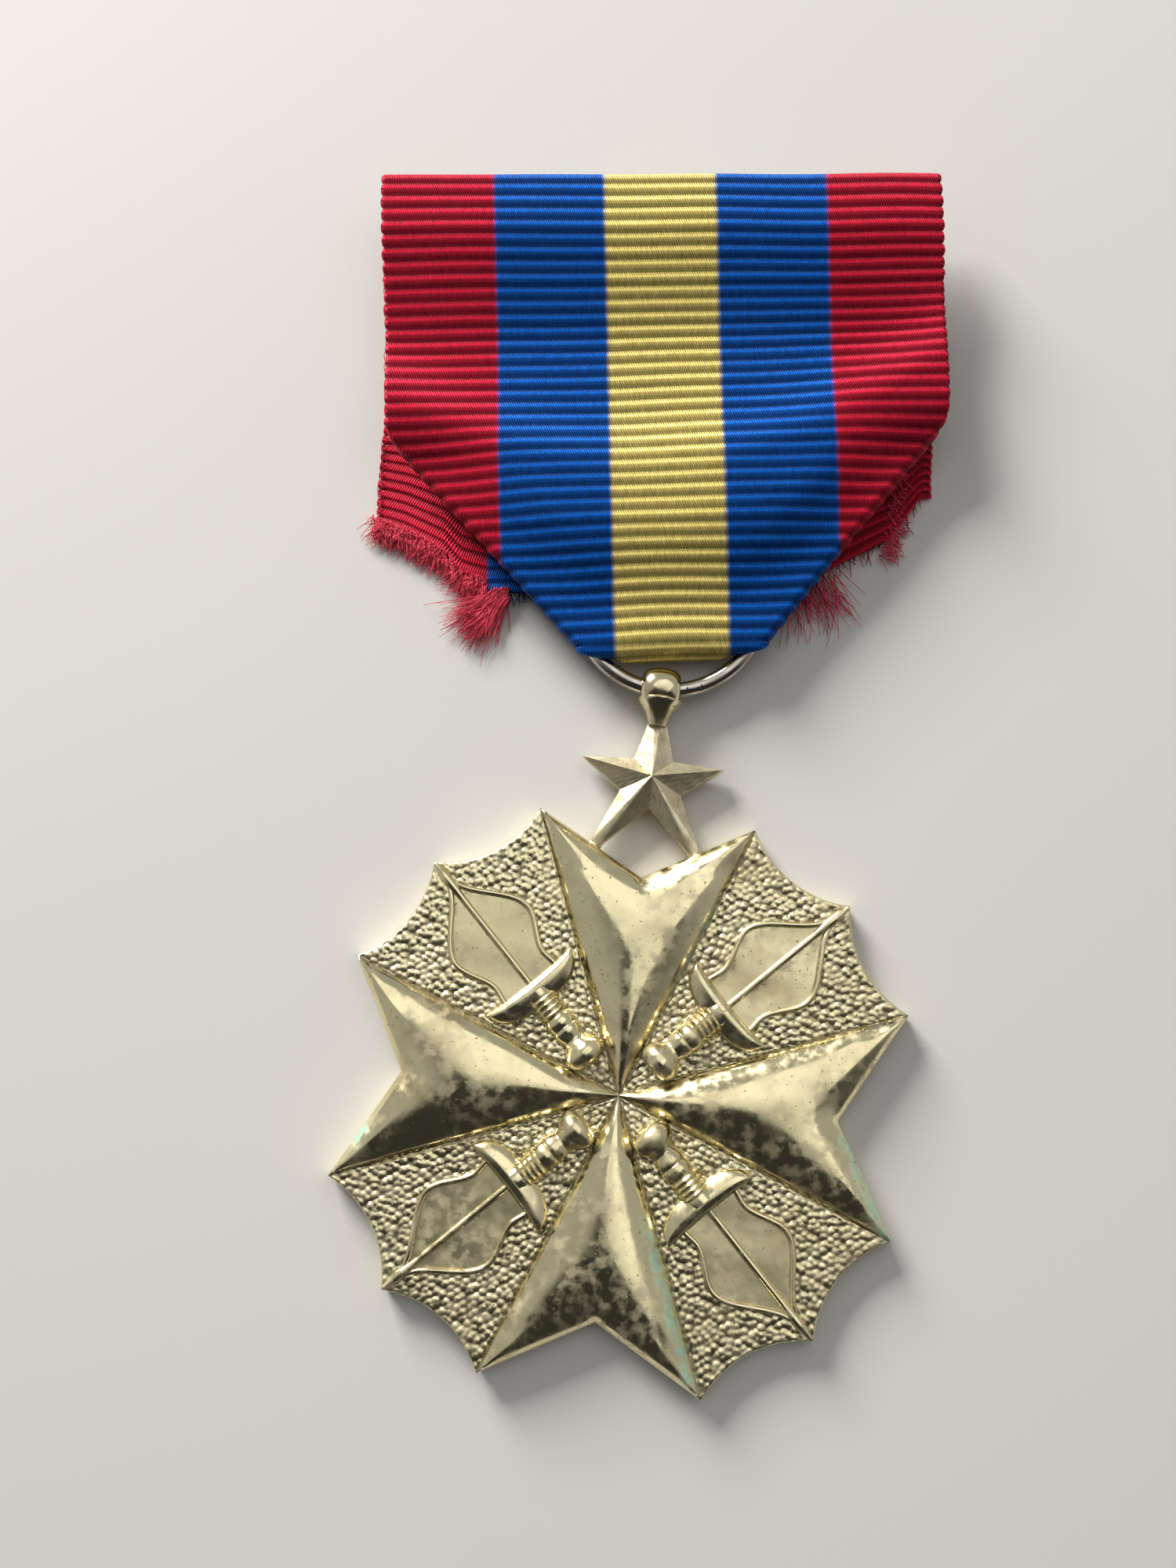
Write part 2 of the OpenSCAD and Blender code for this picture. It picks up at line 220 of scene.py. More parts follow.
place_camera()
soft_lamp("window", (-0.27, 0.46, 0.23), 0.24, 5.8, (1.0, 0.97, 0.93))
soft_lamp("overhead", (0.16, 0.18, 0.62), 0.62, 0.92, (1.0, 0.99, 0.97))
table()
world = bpy.data.worlds.new("studio")
bpy.context.scene.world = world
world.use_nodes = True
room_light(world)
bpy.context.scene.view_settings.view_transform = "Standard"


# ---------------------------------------------------------------------------------------------
# Ribbon
# One length of ribbed silk, woven in five equal stripes. It comes down the front, its corners are
# folded back to a point, it goes through the ring and up behind, and over the top bar to the back.

RIBBON_HALF = 19.0
RIB_PITCH = 0.89
WARP_PITCH = 0.16
ROWS_PER_RIB = 6
CLOTH_T = 0.30
SHOULDER_Y = 11.6
HEEL = (6.0, -3.5)
FOLD_Y = -4.4
TOP_Y = (cad_high.y - ring_at.y) / MM
FRONT_Z = 2.775
TONGUE_Z = 0.62
TOP_Z = 4.61
BACK_Z = 3.31
BACK_DROP_Y = 16.4
BACK_END_Y = 2.0
LOW_Z = 0.17
TONGUE_END = (11.9, 1.98)
TONGUE_HALF = 2.9
CORNER_Z = 2.36
TAPER_SLOPE = (SHOULDER_Y - HEEL[1]) / (RIBBON_HALF - HEEL[0])
TOP_SLANT = math.radians(2.0)
PUFF_RISE = 0.78
SIDE_SAG = 0.22
RIB_RISE = 0.21
SELVEDGE_RISE = 0.09
FRAY_SHIFT = 1.15


def smooth_step(t):
    """0 up to t = 0, 1 from t = 1, and an S-shaped change between."""
    t = np.clip(t, 0, 1)
    return t * t * (3 - 2 * t)


def rise(a, b, steps=12):
    """Points along an S-shaped rise from a to b."""
    t = np.linspace(0, 1, steps + 1)
    return [(a[0] + (b[0] - a[0]) * k, a[1] + (b[1] - a[1]) * float(smooth_step(k))) for k in t]


def climb(a, b, ease_in, ease_out, steps=36):
    """Points along an even slope from a to b that starts and stops softly."""
    y = np.linspace(a[0], b[0], steps + 1)
    slope = smooth_step((y - a[0]) / ease_in) * smooth_step((b[0] - y) / ease_out)
    share = np.cumsum(slope) / slope.sum()
    return [(at, a[1] + (b[1] - a[1]) * float(k)) for at, k in zip(y, share)]


def bend(middle, radius, start, end, steps=16):
    """Points round part of a circle."""
    turn = np.radians(np.linspace(start, end, steps + 1))
    return [(middle[0] + radius * math.cos(a), middle[1] + radius * math.sin(a)) for a in turn]


def ribbon_line():
    """The middle line of the strip, as (Y, Z): up behind the ring, round the fold, front, top, back."""
    fold_bend = (FRONT_Z - TONGUE_Z) / 2
    fold_middle = (FOLD_Y + CLOTH_T / 2 + fold_bend, (FRONT_Z + TONGUE_Z) / 2)
    top_bend = (TOP_Z - BACK_Z) / 2
    top_middle = (TOP_Y - CLOTH_T / 2 - top_bend, (TOP_Z + BACK_Z) / 2)
    line = [TONGUE_END] + rise((10.4, TONGUE_END[1]), (7.3, TONGUE_Z))
    line += bend(fold_middle, fold_bend, 270, 90, 22)
    line += rise((-1.5, FRONT_Z), (6.0, FRONT_Z + 0.40))
    line += rise((9.0, FRONT_Z + 0.40), (15.5, FRONT_Z + 0.46))
    line += climb((16.8, FRONT_Z + 0.46), (26.6, TOP_Z), 3.0, 2.0)
    line += bend(top_middle, top_bend, 90, -90, 14)
    line += rise((21.1, BACK_Z), (BACK_DROP_Y, 0.22)) + [(9.0, 0.2), (BACK_END_Y, 0.2)]
    return np.array(line)


def resample(line, step):
    """The same line with evenly spaced points, and their distances along it."""
    lengths = np.r_[0, np.cumsum(np.hypot(*np.diff(line, axis=0).T))]
    at = np.arange(0, lengths[-1], step)
    return np.c_[np.interp(at, lengths, line[:, 0]), np.interp(at, lengths, line[:, 1])], at


def ripple(a, b, seed, scale):
    """A smooth wave in two directions, from a few sines with seeded phases. It stays near -1 to 1."""
    rng = np.random.default_rng(seed)
    total = np.zeros(np.broadcast(a, b).shape)
    for _ in range(6):
        turn, phase = rng.uniform(0, 2 * math.pi, 2)
        wide = scale * rng.uniform(0.6, 1.7)
        total += np.sin((a * math.cos(turn) + b * math.sin(turn)) * 2 * math.pi / wide + phase)
    return total / 3


def rib_height(along, seed=5):
    """How far a rib stands proud, from 0 in a groove to 1 on its crown, with uneven ribs."""
    rng = np.random.default_rng(seed)
    number = np.floor(along / RIB_PITCH).astype(int)
    uneven = rng.uniform(0.8, 1.15, number.max() + 2)[number]
    return uneven * np.abs(np.sin(np.pi * along / RIB_PITCH)) ** 0.65


def grid_faces(rows, columns, around=False):
    """Quads of a grid of points, row by row, closed sideways where around is true."""
    row, column = np.meshgrid(np.arange(rows - 1), np.arange(columns - (not around)), indexing="ij")
    a = row * columns + column
    b = row * columns + (column + 1) % columns
    return np.stack([a, b, b + columns, a + columns], -1).reshape(-1, 4)


def cloth_shell(middle, outward, thickness):
    """Points and faces of a closed sheet about a grid of points, with faces out on both sides."""
    rows, columns = middle.shape[:2]
    half = thickness[..., None] / 2
    points = np.concatenate([(middle + outward * half).reshape(-1, 3),
                             (middle - outward * half).reshape(-1, 3)])
    top = grid_faces(rows, columns)
    count = rows * columns
    rim = np.concatenate([np.arange(columns), np.arange(1, rows) * columns + columns - 1,
                          (rows - 1) * columns + np.arange(columns - 2, -1, -1),
                          np.arange(rows - 2, 0, -1) * columns])
    after = np.roll(rim, -1)
    edge = np.stack([rim, rim + count, after + count, after], -1)
    return points, np.concatenate([top, top[:, ::-1] + count, edge])


def grid_outward(grid):
    """Unit normals of a grid of points."""
    across = np.gradient(grid, axis=1)
    along = np.gradient(grid, axis=0)
    normal = np.cross(across, along)
    return normal / np.maximum(np.linalg.norm(normal, axis=2, keepdims=True), 1e-12)


def make_piece(name, points, faces, cloth=None, sharp=None):
    """A mesh object from points in metres. cloth gives each point's flat place in the weave."""
    mesh = bpy.data.meshes.new(name)
    mesh.from_pydata([tuple(p) for p in points], [], [tuple(int(i) for i in f) for f in faces])
    mesh.polygons.foreach_set("use_smooth", np.ones(len(mesh.polygons), bool))
    if sharp is not None:
        mesh.set_sharp_from_angle(angle=math.radians(sharp))
    if cloth is not None:
        layer = mesh.uv_layers.new(name="cloth")
        corner = np.zeros(len(mesh.loops), np.int32)
        mesh.loops.foreach_get("vertex_index", corner)
        layer.uv.foreach_set("vector", np.asarray(cloth, np.float32)[corner].ravel())
    piece = bpy.data.objects.new(name, mesh)
    bpy.context.scene.collection.objects.link(piece)
    return piece


TONGUE, FOLD, FRONT, BACK = range(4)


def half_width(y, z, part):
    """Half the strip's width along its line: full at the top and back, tapered to the ring."""
    past = SHOULDER_Y - 0.1 - y
    taper = RIBBON_HALF - (past + np.hypot(past, 0.7)) / 2 / TAPER_SLOPE
    turned = np.clip((FRONT_Z - z) / (FRONT_Z - TONGUE_Z), 0, 1)
    at_fold = 6.4 - 2.8 * smooth_step(turned / 0.34) - 0.6 * smooth_step((turned - 0.34) / 0.6)
    choices = [np.full(y.shape, TONGUE_HALF), at_fold, np.minimum(taper, RIBBON_HALF)]
    return np.select([part == TONGUE, part == FOLD, part == FRONT], choices, RIBBON_HALF)


def frayed_end(x):
    """Where the back layer's cut end runs: low in the middle, ragged and high at the corners."""
    ends = [(-20.6, 6.4), (-17.2, 5.1), (-14.4, 3.4), (-13.2, 1.8), (-11.5, 1.15), (0, 1.2), (12, 2.0),
            (16.4, 4.2), (18.5, 7.0)]
    return np.interp(x, [e[0] for e in ends], [e[1] for e in ends])


def across_strip(half, roll):
    """Places across the strip, how far each turns under, and its flat place. Both edges are rolled."""
    turn = np.radians(np.linspace(20, 150, 8))
    middle = [s * (half - roll) for s in np.linspace(-1, 1, 117)]
    edge_x = [half - roll + roll * math.sin(a) for a in turn]
    edge_drop = [roll * (1 - math.cos(a)) for a in turn]
    edge_flat = [half - roll + roll * a for a in turn]
    x = [-v for v in edge_x[::-1]] + middle + edge_x
    drop = edge_drop[::-1] + [0 * half for _ in middle] + edge_drop
    flat = [-v for v in edge_flat[::-1]] + middle + edge_flat
    return [np.stack(v, 1) for v in (x, drop, flat)]


def ribbon_strip():
    """The strip's points, outward directions, thickness and flat places."""
    line, along = resample(ribbon_line(), RIB_PITCH / ROWS_PER_RIB)
    y, z = line.T
    tangent = np.gradient(line, axis=0)
    tangent /= np.linalg.norm(tangent, axis=1, keepdims=True)
    fold = int(np.argmin(y))
    start_front = fold + int(np.argmax(z[fold:] > FRONT_Z - 0.012))
    top = int(np.argmax(y))
    row = np.arange(len(y))
    part = np.select([row < fold, row < start_front, row <= top], [TONGUE, FOLD, FRONT], BACK)
    half = half_width(y, z, part)
    half = half + SELVEDGE_RISE * rib_height(along) * (half > RIBBON_HALF - 0.01)
    in_taper = (part < BACK) & (y < SHOULDER_Y + 0.5)
    roll = 0.05 + 0.42 * in_taper * smooth_step((SHOULDER_Y + 0.5 - y) / 2)
    x, drop, flat = across_strip(half, roll)
    rows_y, rows_z = y[:, None] + 0 * x, z[:, None] + 0 * x
    rows_y = rows_y + drop * tangent[:, 1][:, None]
    rows_z = rows_z - drop * tangent[:, 0][:, None]
    front = (part == FRONT)[:, None]
    back = (part == BACK)[:, None]
    rows_y = rows_y + 0.05 * ripple(x, rows_y, 3, 9.0)
    sway = smooth_step((rows_y - 12) / 16) * (TOP_Y - 12) / 16
    rows_y = rows_y - x * math.tan(TOP_SLANT) * sway * (~back | (rows_y > 26))
    rows_z = rows_z + front * 0.07 * ripple(x, rows_y, 8, 17.0) * smooth_step((TOP_Y - rows_y) / 6)
    side_sag = smooth_step((np.abs(x) - 9) / 10) * smooth_step((14 - rows_y) / 6)
    rows_z = rows_z - front * SIDE_SAG * side_sag
    inward = smooth_step((half[:, None] - np.abs(x)) / 6.5)
    arch = rows_y - 6.5 * (x / RIBBON_HALF) ** 2 - 0.05 * x
    puff = smooth_step((arch + 1.6) / 7.0) * np.exp(-(np.maximum(arch - 8.4, 0) / 3.1) ** 2)
    puff = puff * (inward + (1 - inward) * smooth_step((rows_y - 9) / 4))
    rows_z = rows_z + front * PUFF_RISE * puff
    stretch = (BACK_DROP_Y - frayed_end(x)) / (BACK_DROP_Y - BACK_END_Y)
    low_y = BACK_DROP_Y - (BACK_DROP_Y - rows_y) * stretch
    rows_y = np.where(back & (rows_y < BACK_DROP_Y), low_y, rows_y)
    shift = back * -FRAY_SHIFT * smooth_step((22 - rows_y) / 18)
    curl = back * 0.16 * smooth_step((8 - rows_y) / 6) * (0.6 + 0.4 * ripple(x, rows_y, 31, 7.0))
    grid = np.stack([x + shift, rows_y, np.maximum(rows_z + curl, LOW_Z)], -1)
    outward = grid_outward(grid)
    thickness = CLOTH_T - 0.10 + RIB_RISE * rib_height(along)[:, None] + 0 * x
    return grid, outward, thickness, np.stack([flat, along[:, None] + 0 * x], -1)


def folded_corner(side):
    """The corner of the strip that is folded back behind the front, on one side."""
    down = np.arange(0.6, SHOULDER_Y - HEEL[1] - 0.4, RIB_PITCH / ROWS_PER_RIB)
    share = np.linspace(0, 1, 40)
    flat_y = (SHOULDER_Y - down)[:, None] + 0 * share
    inner = RIBBON_HALF - down / TAPER_SLOPE - 0.25
    flat_x = inner[:, None] + (RIBBON_HALF - inner)[:, None] * share
    along = np.array([1, TAPER_SLOPE]) / math.hypot(1, TAPER_SLOPE)
    off_x, off_y = flat_x - RIBBON_HALF, flat_y - SHOULDER_Y
    dot = off_x * along[0] + off_y * along[1]
    x = RIBBON_HALF + 2 * dot * along[0] - off_x - 0.30
    y = SHOULDER_Y + 2 * dot * along[1] - off_y + 0.22
    keep = np.minimum(x, 18.2)
    z = CORNER_Z - 0.05 * share + 0.02 * ripple(x, y, 12, 6.0) - 0.16 * smooth_step((x - 10) / 8)
    grid = np.stack([side * keep, y, z], -1)
    grid = grid if side > 0 else grid[:, ::-1]
    flat = np.stack([side * flat_x, 40 + flat_y], -1)
    flat = flat if side > 0 else flat[:, ::-1]
    thickness = 0.14 + 0.14 * rib_height(down)[:, None] + 0 * x
    return grid, -grid_outward(grid), thickness, flat


def ring_faces(rows, columns):
    """Faces of a solid made of rings of points, with one more point for each end listed last."""
    first, last, end = rows * columns, rows * columns + 1, (rows - 1) * columns
    faces = grid_faces(rows, columns, around=True)[:, ::-1].tolist()
    faces += [(first, i, (i + 1) % columns) for i in range(columns)]
    return faces + [(last, end + (i + 1) % columns, end + i) for i in range(columns)]


def tube_points(line, radii, sides):
    """A closed thin tube along a line of points, its two ends drawn to a point."""
    line = np.asarray(line, float)
    tangent = np.gradient(line, axis=0)
    tangent /= np.maximum(np.linalg.norm(tangent, axis=1, keepdims=True), 1e-9)
    helper = np.where(np.abs(tangent[:, 2:3]) > 0.9, [[1.0, 0, 0]], [[0, 0, 1.0]])
    one = np.cross(tangent, helper)
    one /= np.linalg.norm(one, axis=1, keepdims=True)
    two = np.cross(tangent, one)
    turn = np.linspace(0, 2 * math.pi, sides, endpoint=False)
    ring = np.cos(turn)[None, :, None] * one[:, None] + np.sin(turn)[None, :, None] * two[:, None]
    points = line[:, None] + ring * np.asarray(radii, float).reshape(-1, 1, 1)
    body = points.reshape(-1, 3)
    return np.concatenate([body, line[:1], line[-1:]]), ring_faces(len(line), sides)


def thread(rng, start, heading, length, droop):
    """One loose thread from a point, curving and sinking to the table."""
    t = np.linspace(0, 1, 7)[:, None]
    bow = rng.normal(0, 0.16, 2) * length
    direction = np.array([math.cos(heading), math.sin(heading)])
    flat = start[:2] + direction * length * t + bow * t * t * (1 - 0.3 * t)
    low = np.maximum(start[2] + (droop - start[2]) * t + 0.12 * np.sin(t * 5 + rng.uniform(0, 6)) * t, 0.06)
    return np.hstack([flat, low])


def loose_threads():
    """A short fringe all along the cut end, each thread in its own stripe's colour."""
    rng = np.random.default_rng(41)
    made = []
    for x in np.arange(-20.2, 17.4, 0.15):
        edge = float(frayed_end(x + FRAY_SHIFT))
        start = np.array([x, edge + 0.25, 0.22 + rng.uniform(0, 0.12)])
        line = thread(rng, start, rng.normal(-1.57, 0.45), rng.uniform(0.45, 1.3), 0.12)
        made.append((x + FRAY_SHIFT, line))
    return made


def red_fluff():
    """Teased-out red silk: a soft roll on the left of the cut end, a brush below it, wisps at the right."""
    rng = np.random.default_rng(43)
    made = []
    for _ in range(760):
        x = rng.uniform(-20.5, -12.6)
        edge = float(frayed_end(x + FRAY_SHIFT))
        start = np.array([x, edge + rng.uniform(-0.1, 1.1), rng.uniform(0.3, 0.75)])
        made.append(thread(rng, start, rng.normal(-1.85, 0.55), rng.uniform(0.7, 1.5), 0.25))
    for _ in range(340):
        start = np.array([rng.uniform(-12.2, -11.0), rng.uniform(0.5, 1.5), rng.uniform(0.2, 0.8)])
        heading = math.radians(rng.normal(224, 15))
        made.append(thread(rng, start, heading, rng.uniform(2.4, 4.0), rng.uniform(0.1, 0.7)))
    for _ in range(40):
        start = np.array([rng.uniform(-12.2, -11.0), rng.uniform(0.5, 1.5), rng.uniform(0.2, 0.5)])
        made.append(thread(rng, start, math.radians(rng.uniform(178, 262)), rng.uniform(2.8, 4.8), 0.15))
    for _ in range(110):
        start = np.array([rng.uniform(7.8, 11.6), rng.uniform(-0.2, 2.4), rng.uniform(0.2, 0.6)])
        heading = math.radians(rng.uniform(262, 322))
        made.append(thread(rng, start, heading, rng.uniform(1.4, 3.4), rng.uniform(0.1, 0.3)))
    for y in np.arange(7.2, 26.6, 0.8):
        out = 19.05 + 1.05 * float(smooth_step((22 - y) / 18)) * (y < 12.4)
        reach, low = rng.uniform(0.10, 0.42), 0.5 if y < 12.4 else FRONT_Z + 0.1 * (y > 18)
        turn = np.linspace(-1.5, 1.5, 9)
        made.append(np.stack([-out + 0.1 - reach * np.cos(turn), y + 0.5 * np.sin(turn) + 0.1 * turn,
                              low + 0.06 * turn], -1))
    for _ in range(260):
        y = rng.uniform(2.6, 10.2)
        start = np.array([15.2 + 0.22 * (y - 2.6) + rng.uniform(-1.0, 0.2), y, rng.uniform(0.25, 0.6)])
        made.append(thread(rng, start, math.radians(rng.uniform(-75, 10)), rng.uniform(0.4, 1.2), 0.2))
    return made


def fluff_material():
    """Loose silk fibre: lighter and softer than the woven cloth."""
    material, nodes, links, surface = new_material(
        "loose_silk", Roughness=0.55, Sheen_Weight=0.25, Sheen_Roughness=0.5, Specular_IOR_Level=0.3)
    _, noise, mix = node_tools(nodes, links)
    patch = noise(nodes.new("ShaderNodeTexCoord").outputs["Object"], 1800)
    tone = mix(patch, (0.52, 0.012, 0.040, 1), (0.82, 0.055, 0.115, 1))
    links.new(tone, surface.inputs["Base Color"])
    return material


def add_bump(nodes, links, surface, height, depth, strength):
    """Fine relief in a material, its depth in millimetres."""
    bump = nodes.new("ShaderNodeBump")
    bump.inputs["Strength"].default_value = strength
    bump.inputs["Distance"].default_value = depth * MM
    links.new(height, bump.inputs["Height"])
    links.new(bump.outputs["Normal"], surface.inputs["Normal"])


def silk_material():
    """Ribbed silk: the stripe by its place across the strip, with fine slanted warp threads, painted shade
    in the grooves between ribs and a painted highlight line along each rib.
    """
    material, nodes, links, surface = new_material(
        "ribbed_silk", Metallic=0.5, Roughness=0.46, Sheen_Weight=0.03, Sheen_Roughness=0.4,
        Specular_IOR_Level=0.16)
    sums, noise, _ = node_tools(nodes, links)
    cloth = nodes.new("ShaderNodeUVMap")
    cloth.uv_map = "cloth"
    weave = cloth.outputs["UV"]
    split = nodes.new("ShaderNodeSeparateXYZ")
    links.new(weave, split.inputs["Vector"])
    across, along = split.outputs["X"], split.outputs["Y"]
    wander = sums("SUBTRACT", noise(weave, 0.9, 2.0, 0, 1), 0.5)
    edge = sums("ADD", across, sums("MULTIPLY", wander, 0.16))
    share = sums("DIVIDE", sums("ADD", edge, RIBBON_HALF), 2 * RIBBON_HALF)
    stripes = nodes.new("ShaderNodeValToRGB")
    red, blue, yellow = (0.58, 0.010, 0.040, 1), (0.001, 0.096, 0.46, 1), (0.92, 0.73, 0.215, 1)
    bands = [red, blue, yellow, blue, red]
    blur = 0.0035
    ramp = stripes.color_ramp
    ramp.elements[0].position, ramp.elements[0].color = 0, red
    ramp.elements[1].position, ramp.elements[1].color = 1, red
    for k in range(1, 5):
        for side, colour in ((-blur, bands[k - 1]), (blur, bands[k])):
            stop = ramp.elements.new(k / 5 + side)
            stop.color = colour
    links.new(share, stripes.inputs["Fac"])
    in_rib = sums("FRACT", sums("DIVIDE", along, RIB_PITCH))
    slant = sums("ADD", across, sums("MULTIPLY", in_rib, 0.30))
    warp = sums("SINE", sums("MULTIPLY", slant, 2 * math.pi / WARP_PITCH))
    # Painted highlight: a bright line along each rib, a little off its crown, lightens the stripe colour.
    painted_rib_highlight = sums("DIVIDE", sums("SUBTRACT", in_rib, 0.64), 0.10)
    painted_rib_highlight = sums("EXPONENT", sums("MULTIPLY", sums("MULTIPLY", painted_rib_highlight, painted_rib_highlight), -1.0))
    stretch = nodes.new("ShaderNodeMapping")
    stretch.inputs["Scale"].default_value = (3.4, 0.75, 1)
    links.new(weave, stretch.inputs["Vector"])
    speck = noise(stretch.outputs["Vector"], 1.6, 4, 0, 1)
    # Painted shade: the stripe colour darkens towards the grooves between the ribs.
    painted_groove_shade = sums("ABSOLUTE", sums("SINE", sums("MULTIPLY", in_rib, math.pi)))
    painted_groove_shade = sums("POWER", painted_groove_shade, 0.5)
    beads = sums("ADD", sums("MULTIPLY", warp, 0.24), 0.76)
    # lit holds the thread pattern and a random tone, together with the painted groove shade and the painted
    # rib highlight.
    lit = sums("MULTIPLY", beads, sums("ADD", sums("MULTIPLY", painted_groove_shade, 0.50), 0.22))
    lit = sums("ADD", lit, sums("MULTIPLY", sums("MULTIPLY", painted_rib_highlight, beads), 0.80))
    lit = sums("MULTIPLY", lit, sums("ADD", sums("MULTIPLY", speck, 1.1), 0.50))
    shade = nodes.new("ShaderNodeMix")
    shade.data_type = "RGBA"
    shade.blend_type = "MULTIPLY"
    shade.inputs["Factor"].default_value = 1.0
    links.new(stripes.outputs["Color"], shade.inputs["A"])
    grey = nodes.new("ShaderNodeCombineColor")
    for channel in grey.inputs:
        links.new(lit, channel)
    links.new(grey.outputs["Color"], shade.inputs["B"])
    links.new(shade.outputs["Result"], surface.inputs["Base Color"])
    add_bump(nodes, links, surface, warp, 0.04, 0.55)
    return material


def from_ring(points):
    """Millimetres about the ring's centre, with the table at nought, to metres in the frame."""
    points = np.asarray(points, float) * MM
    points[..., 0] += ring_at.x
    points[..., 1] += ring_at.y
    return points


def join_shells(shells):
    """Several closed shells as one list of points and one of faces."""
    points, faces, first = [], [], 0
    for shell_points, shell_faces in shells:
        points.append(np.asarray(shell_points, float))
        faces += [tuple(int(i) + first for i in f) for f in shell_faces]
        first += len(shell_points)
    return np.concatenate(points), faces


def ribbon():
    shells, places = [], []
    for grid, outward, thickness, flat in (ribbon_strip(), folded_corner(1), folded_corner(-1)):
        shells.append(cloth_shell(grid, outward, thickness))
        flat = flat.reshape(-1, 2)
        places += [flat, flat]
    points, faces = join_shells(shells)
    piece = make_piece("silk_ribbon", from_ring(points), faces, np.concatenate(places))
    silk = silk_material()
    piece.data.materials.append(silk)
    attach(piece, "mount")
    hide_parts("ribbon")
    shells, places = [], []
    for across, line in loose_threads():
        tube = tube_points(line, np.linspace(0.045, 0.022, len(line)), 4)
        shells.append(tube)
        places.append(np.tile([across, 1.0], (len(tube[0]), 1)))
    points, faces = join_shells(shells)
    fringe = make_piece("frayed_threads", from_ring(points), faces, np.concatenate(places))
    fringe.data.materials.append(silk)
    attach(fringe, "mount")
    points, faces = join_shells([tube_points(line, np.linspace(0.040, 0.016, len(line)), 4)
                                 for line in red_fluff()])
    fluff = make_piece("silk_fluff", from_ring(points), faces)
    fluff.data.materials.append(fluff_material())
    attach(fluff, "mount")
    length = resample(ribbon_line(), 0.2)[1][-1]


ribbon()


# ---------------------------------------------------------------------------------------------
# Ring
# A bent piece of bright nickel wire, butted at the top where the ribbon hides the joint.

RING_R = 6.3
WIRE_D = 1.05
RING_Z = 1.5


def hung(points):
    """Millimetres about the ring's centre, on the badge's own upright line, to the frame."""
    points = np.array(points, float)
    x, y = points[..., 0].copy(), points[..., 1].copy()
    points[..., 0] = x * math.cos(hang_turn) + y * math.sin(hang_turn)
    points[..., 1] = y * math.cos(hang_turn) - x * math.sin(hang_turn)
    return from_ring(points)


def plain_metal(name, bright, dull, smooth, rough, grain=1400):
    """A bare metal with clouds of dull handling marks, fine pits and a fine grainy relief."""
    material, nodes, links, surface = new_material(name, Metallic=1.0)
    sums, noise, mix = node_tools(nodes, links)
    place = nodes.new("ShaderNodeTexCoord").outputs["Object"]
    cloud = noise(place, grain / 3, 5, 0.38, 0.66)
    pits = noise(place, grain * 2.4, 2, 0.66, 0.74)
    tone = mix(cloud, bright, dull)
    links.new(mix(pits, tone, tuple(0.25 * c for c in dull[:3]) + (1,)), surface.inputs["Base Color"])
    worn = sums("ADD", sums("MULTIPLY", cloud, rough - smooth), smooth)
    links.new(sums("ADD", worn, sums("MULTIPLY", pits, 0.25)), surface.inputs["Roughness"])
    add_bump(nodes, links, surface, noise(place, grain, 6, 0.2, 0.8), 0.012, 0.35)
    return material


def ring():
    gap = math.degrees(0.1 / RING_R)
    turn = np.radians(np.linspace(90 + gap / 2, 450 - gap / 2, 181))
    line = np.stack([RING_R * np.cos(turn), RING_R * np.sin(turn), 0 * turn + RING_Z], -1)
    radii = np.full(len(line), WIRE_D / 2)
    radii[0] = radii[-1] = WIRE_D / 2 - 0.06
    points, faces = tube_points(line, radii, 24)
    piece = make_piece("wire_ring", hung(points), faces, sharp=50)
    piece.data.materials.append(
        plain_metal("ring_nickel", (0.66, 0.62, 0.55, 1), (0.36, 0.31, 0.25, 1), 0.10, 0.32))
    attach(piece, "ring")
    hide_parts("suspension_ring")


ring()


# ---------------------------------------------------------------------------------------------
# Ball with its collar
# A gilt bead with flattened sides, bored for the ring, on a short funnel that runs down to the star.

BALL_R = 1.5
BALL_HALF_W = 1.30
BALL_BORE_R = 0.70


def revolve(loop, sides):
    """A closed solid of revolution of a closed loop of (radius, height), about the Z axis."""
    loop = np.asarray(loop, float)
    turn = np.linspace(0, 2 * math.pi, sides, endpoint=False)
    points = np.stack([loop[None, :, 0] * np.cos(turn)[:, None], loop[None, :, 0] * np.sin(turn)[:, None],
                       loop[None, :, 1] + 0 * turn[:, None]], -1)
    count = len(loop)
    row, column = np.meshgrid(np.arange(sides), np.arange(count), indexing="ij")
    after_row, after = (row + 1) % sides, (column + 1) % count
    faces = np.stack([row * count + column, after_row * count + column, after_row * count + after,
                      row * count + after], -1).reshape(-1, 4)
    return points.reshape(-1, 3), faces


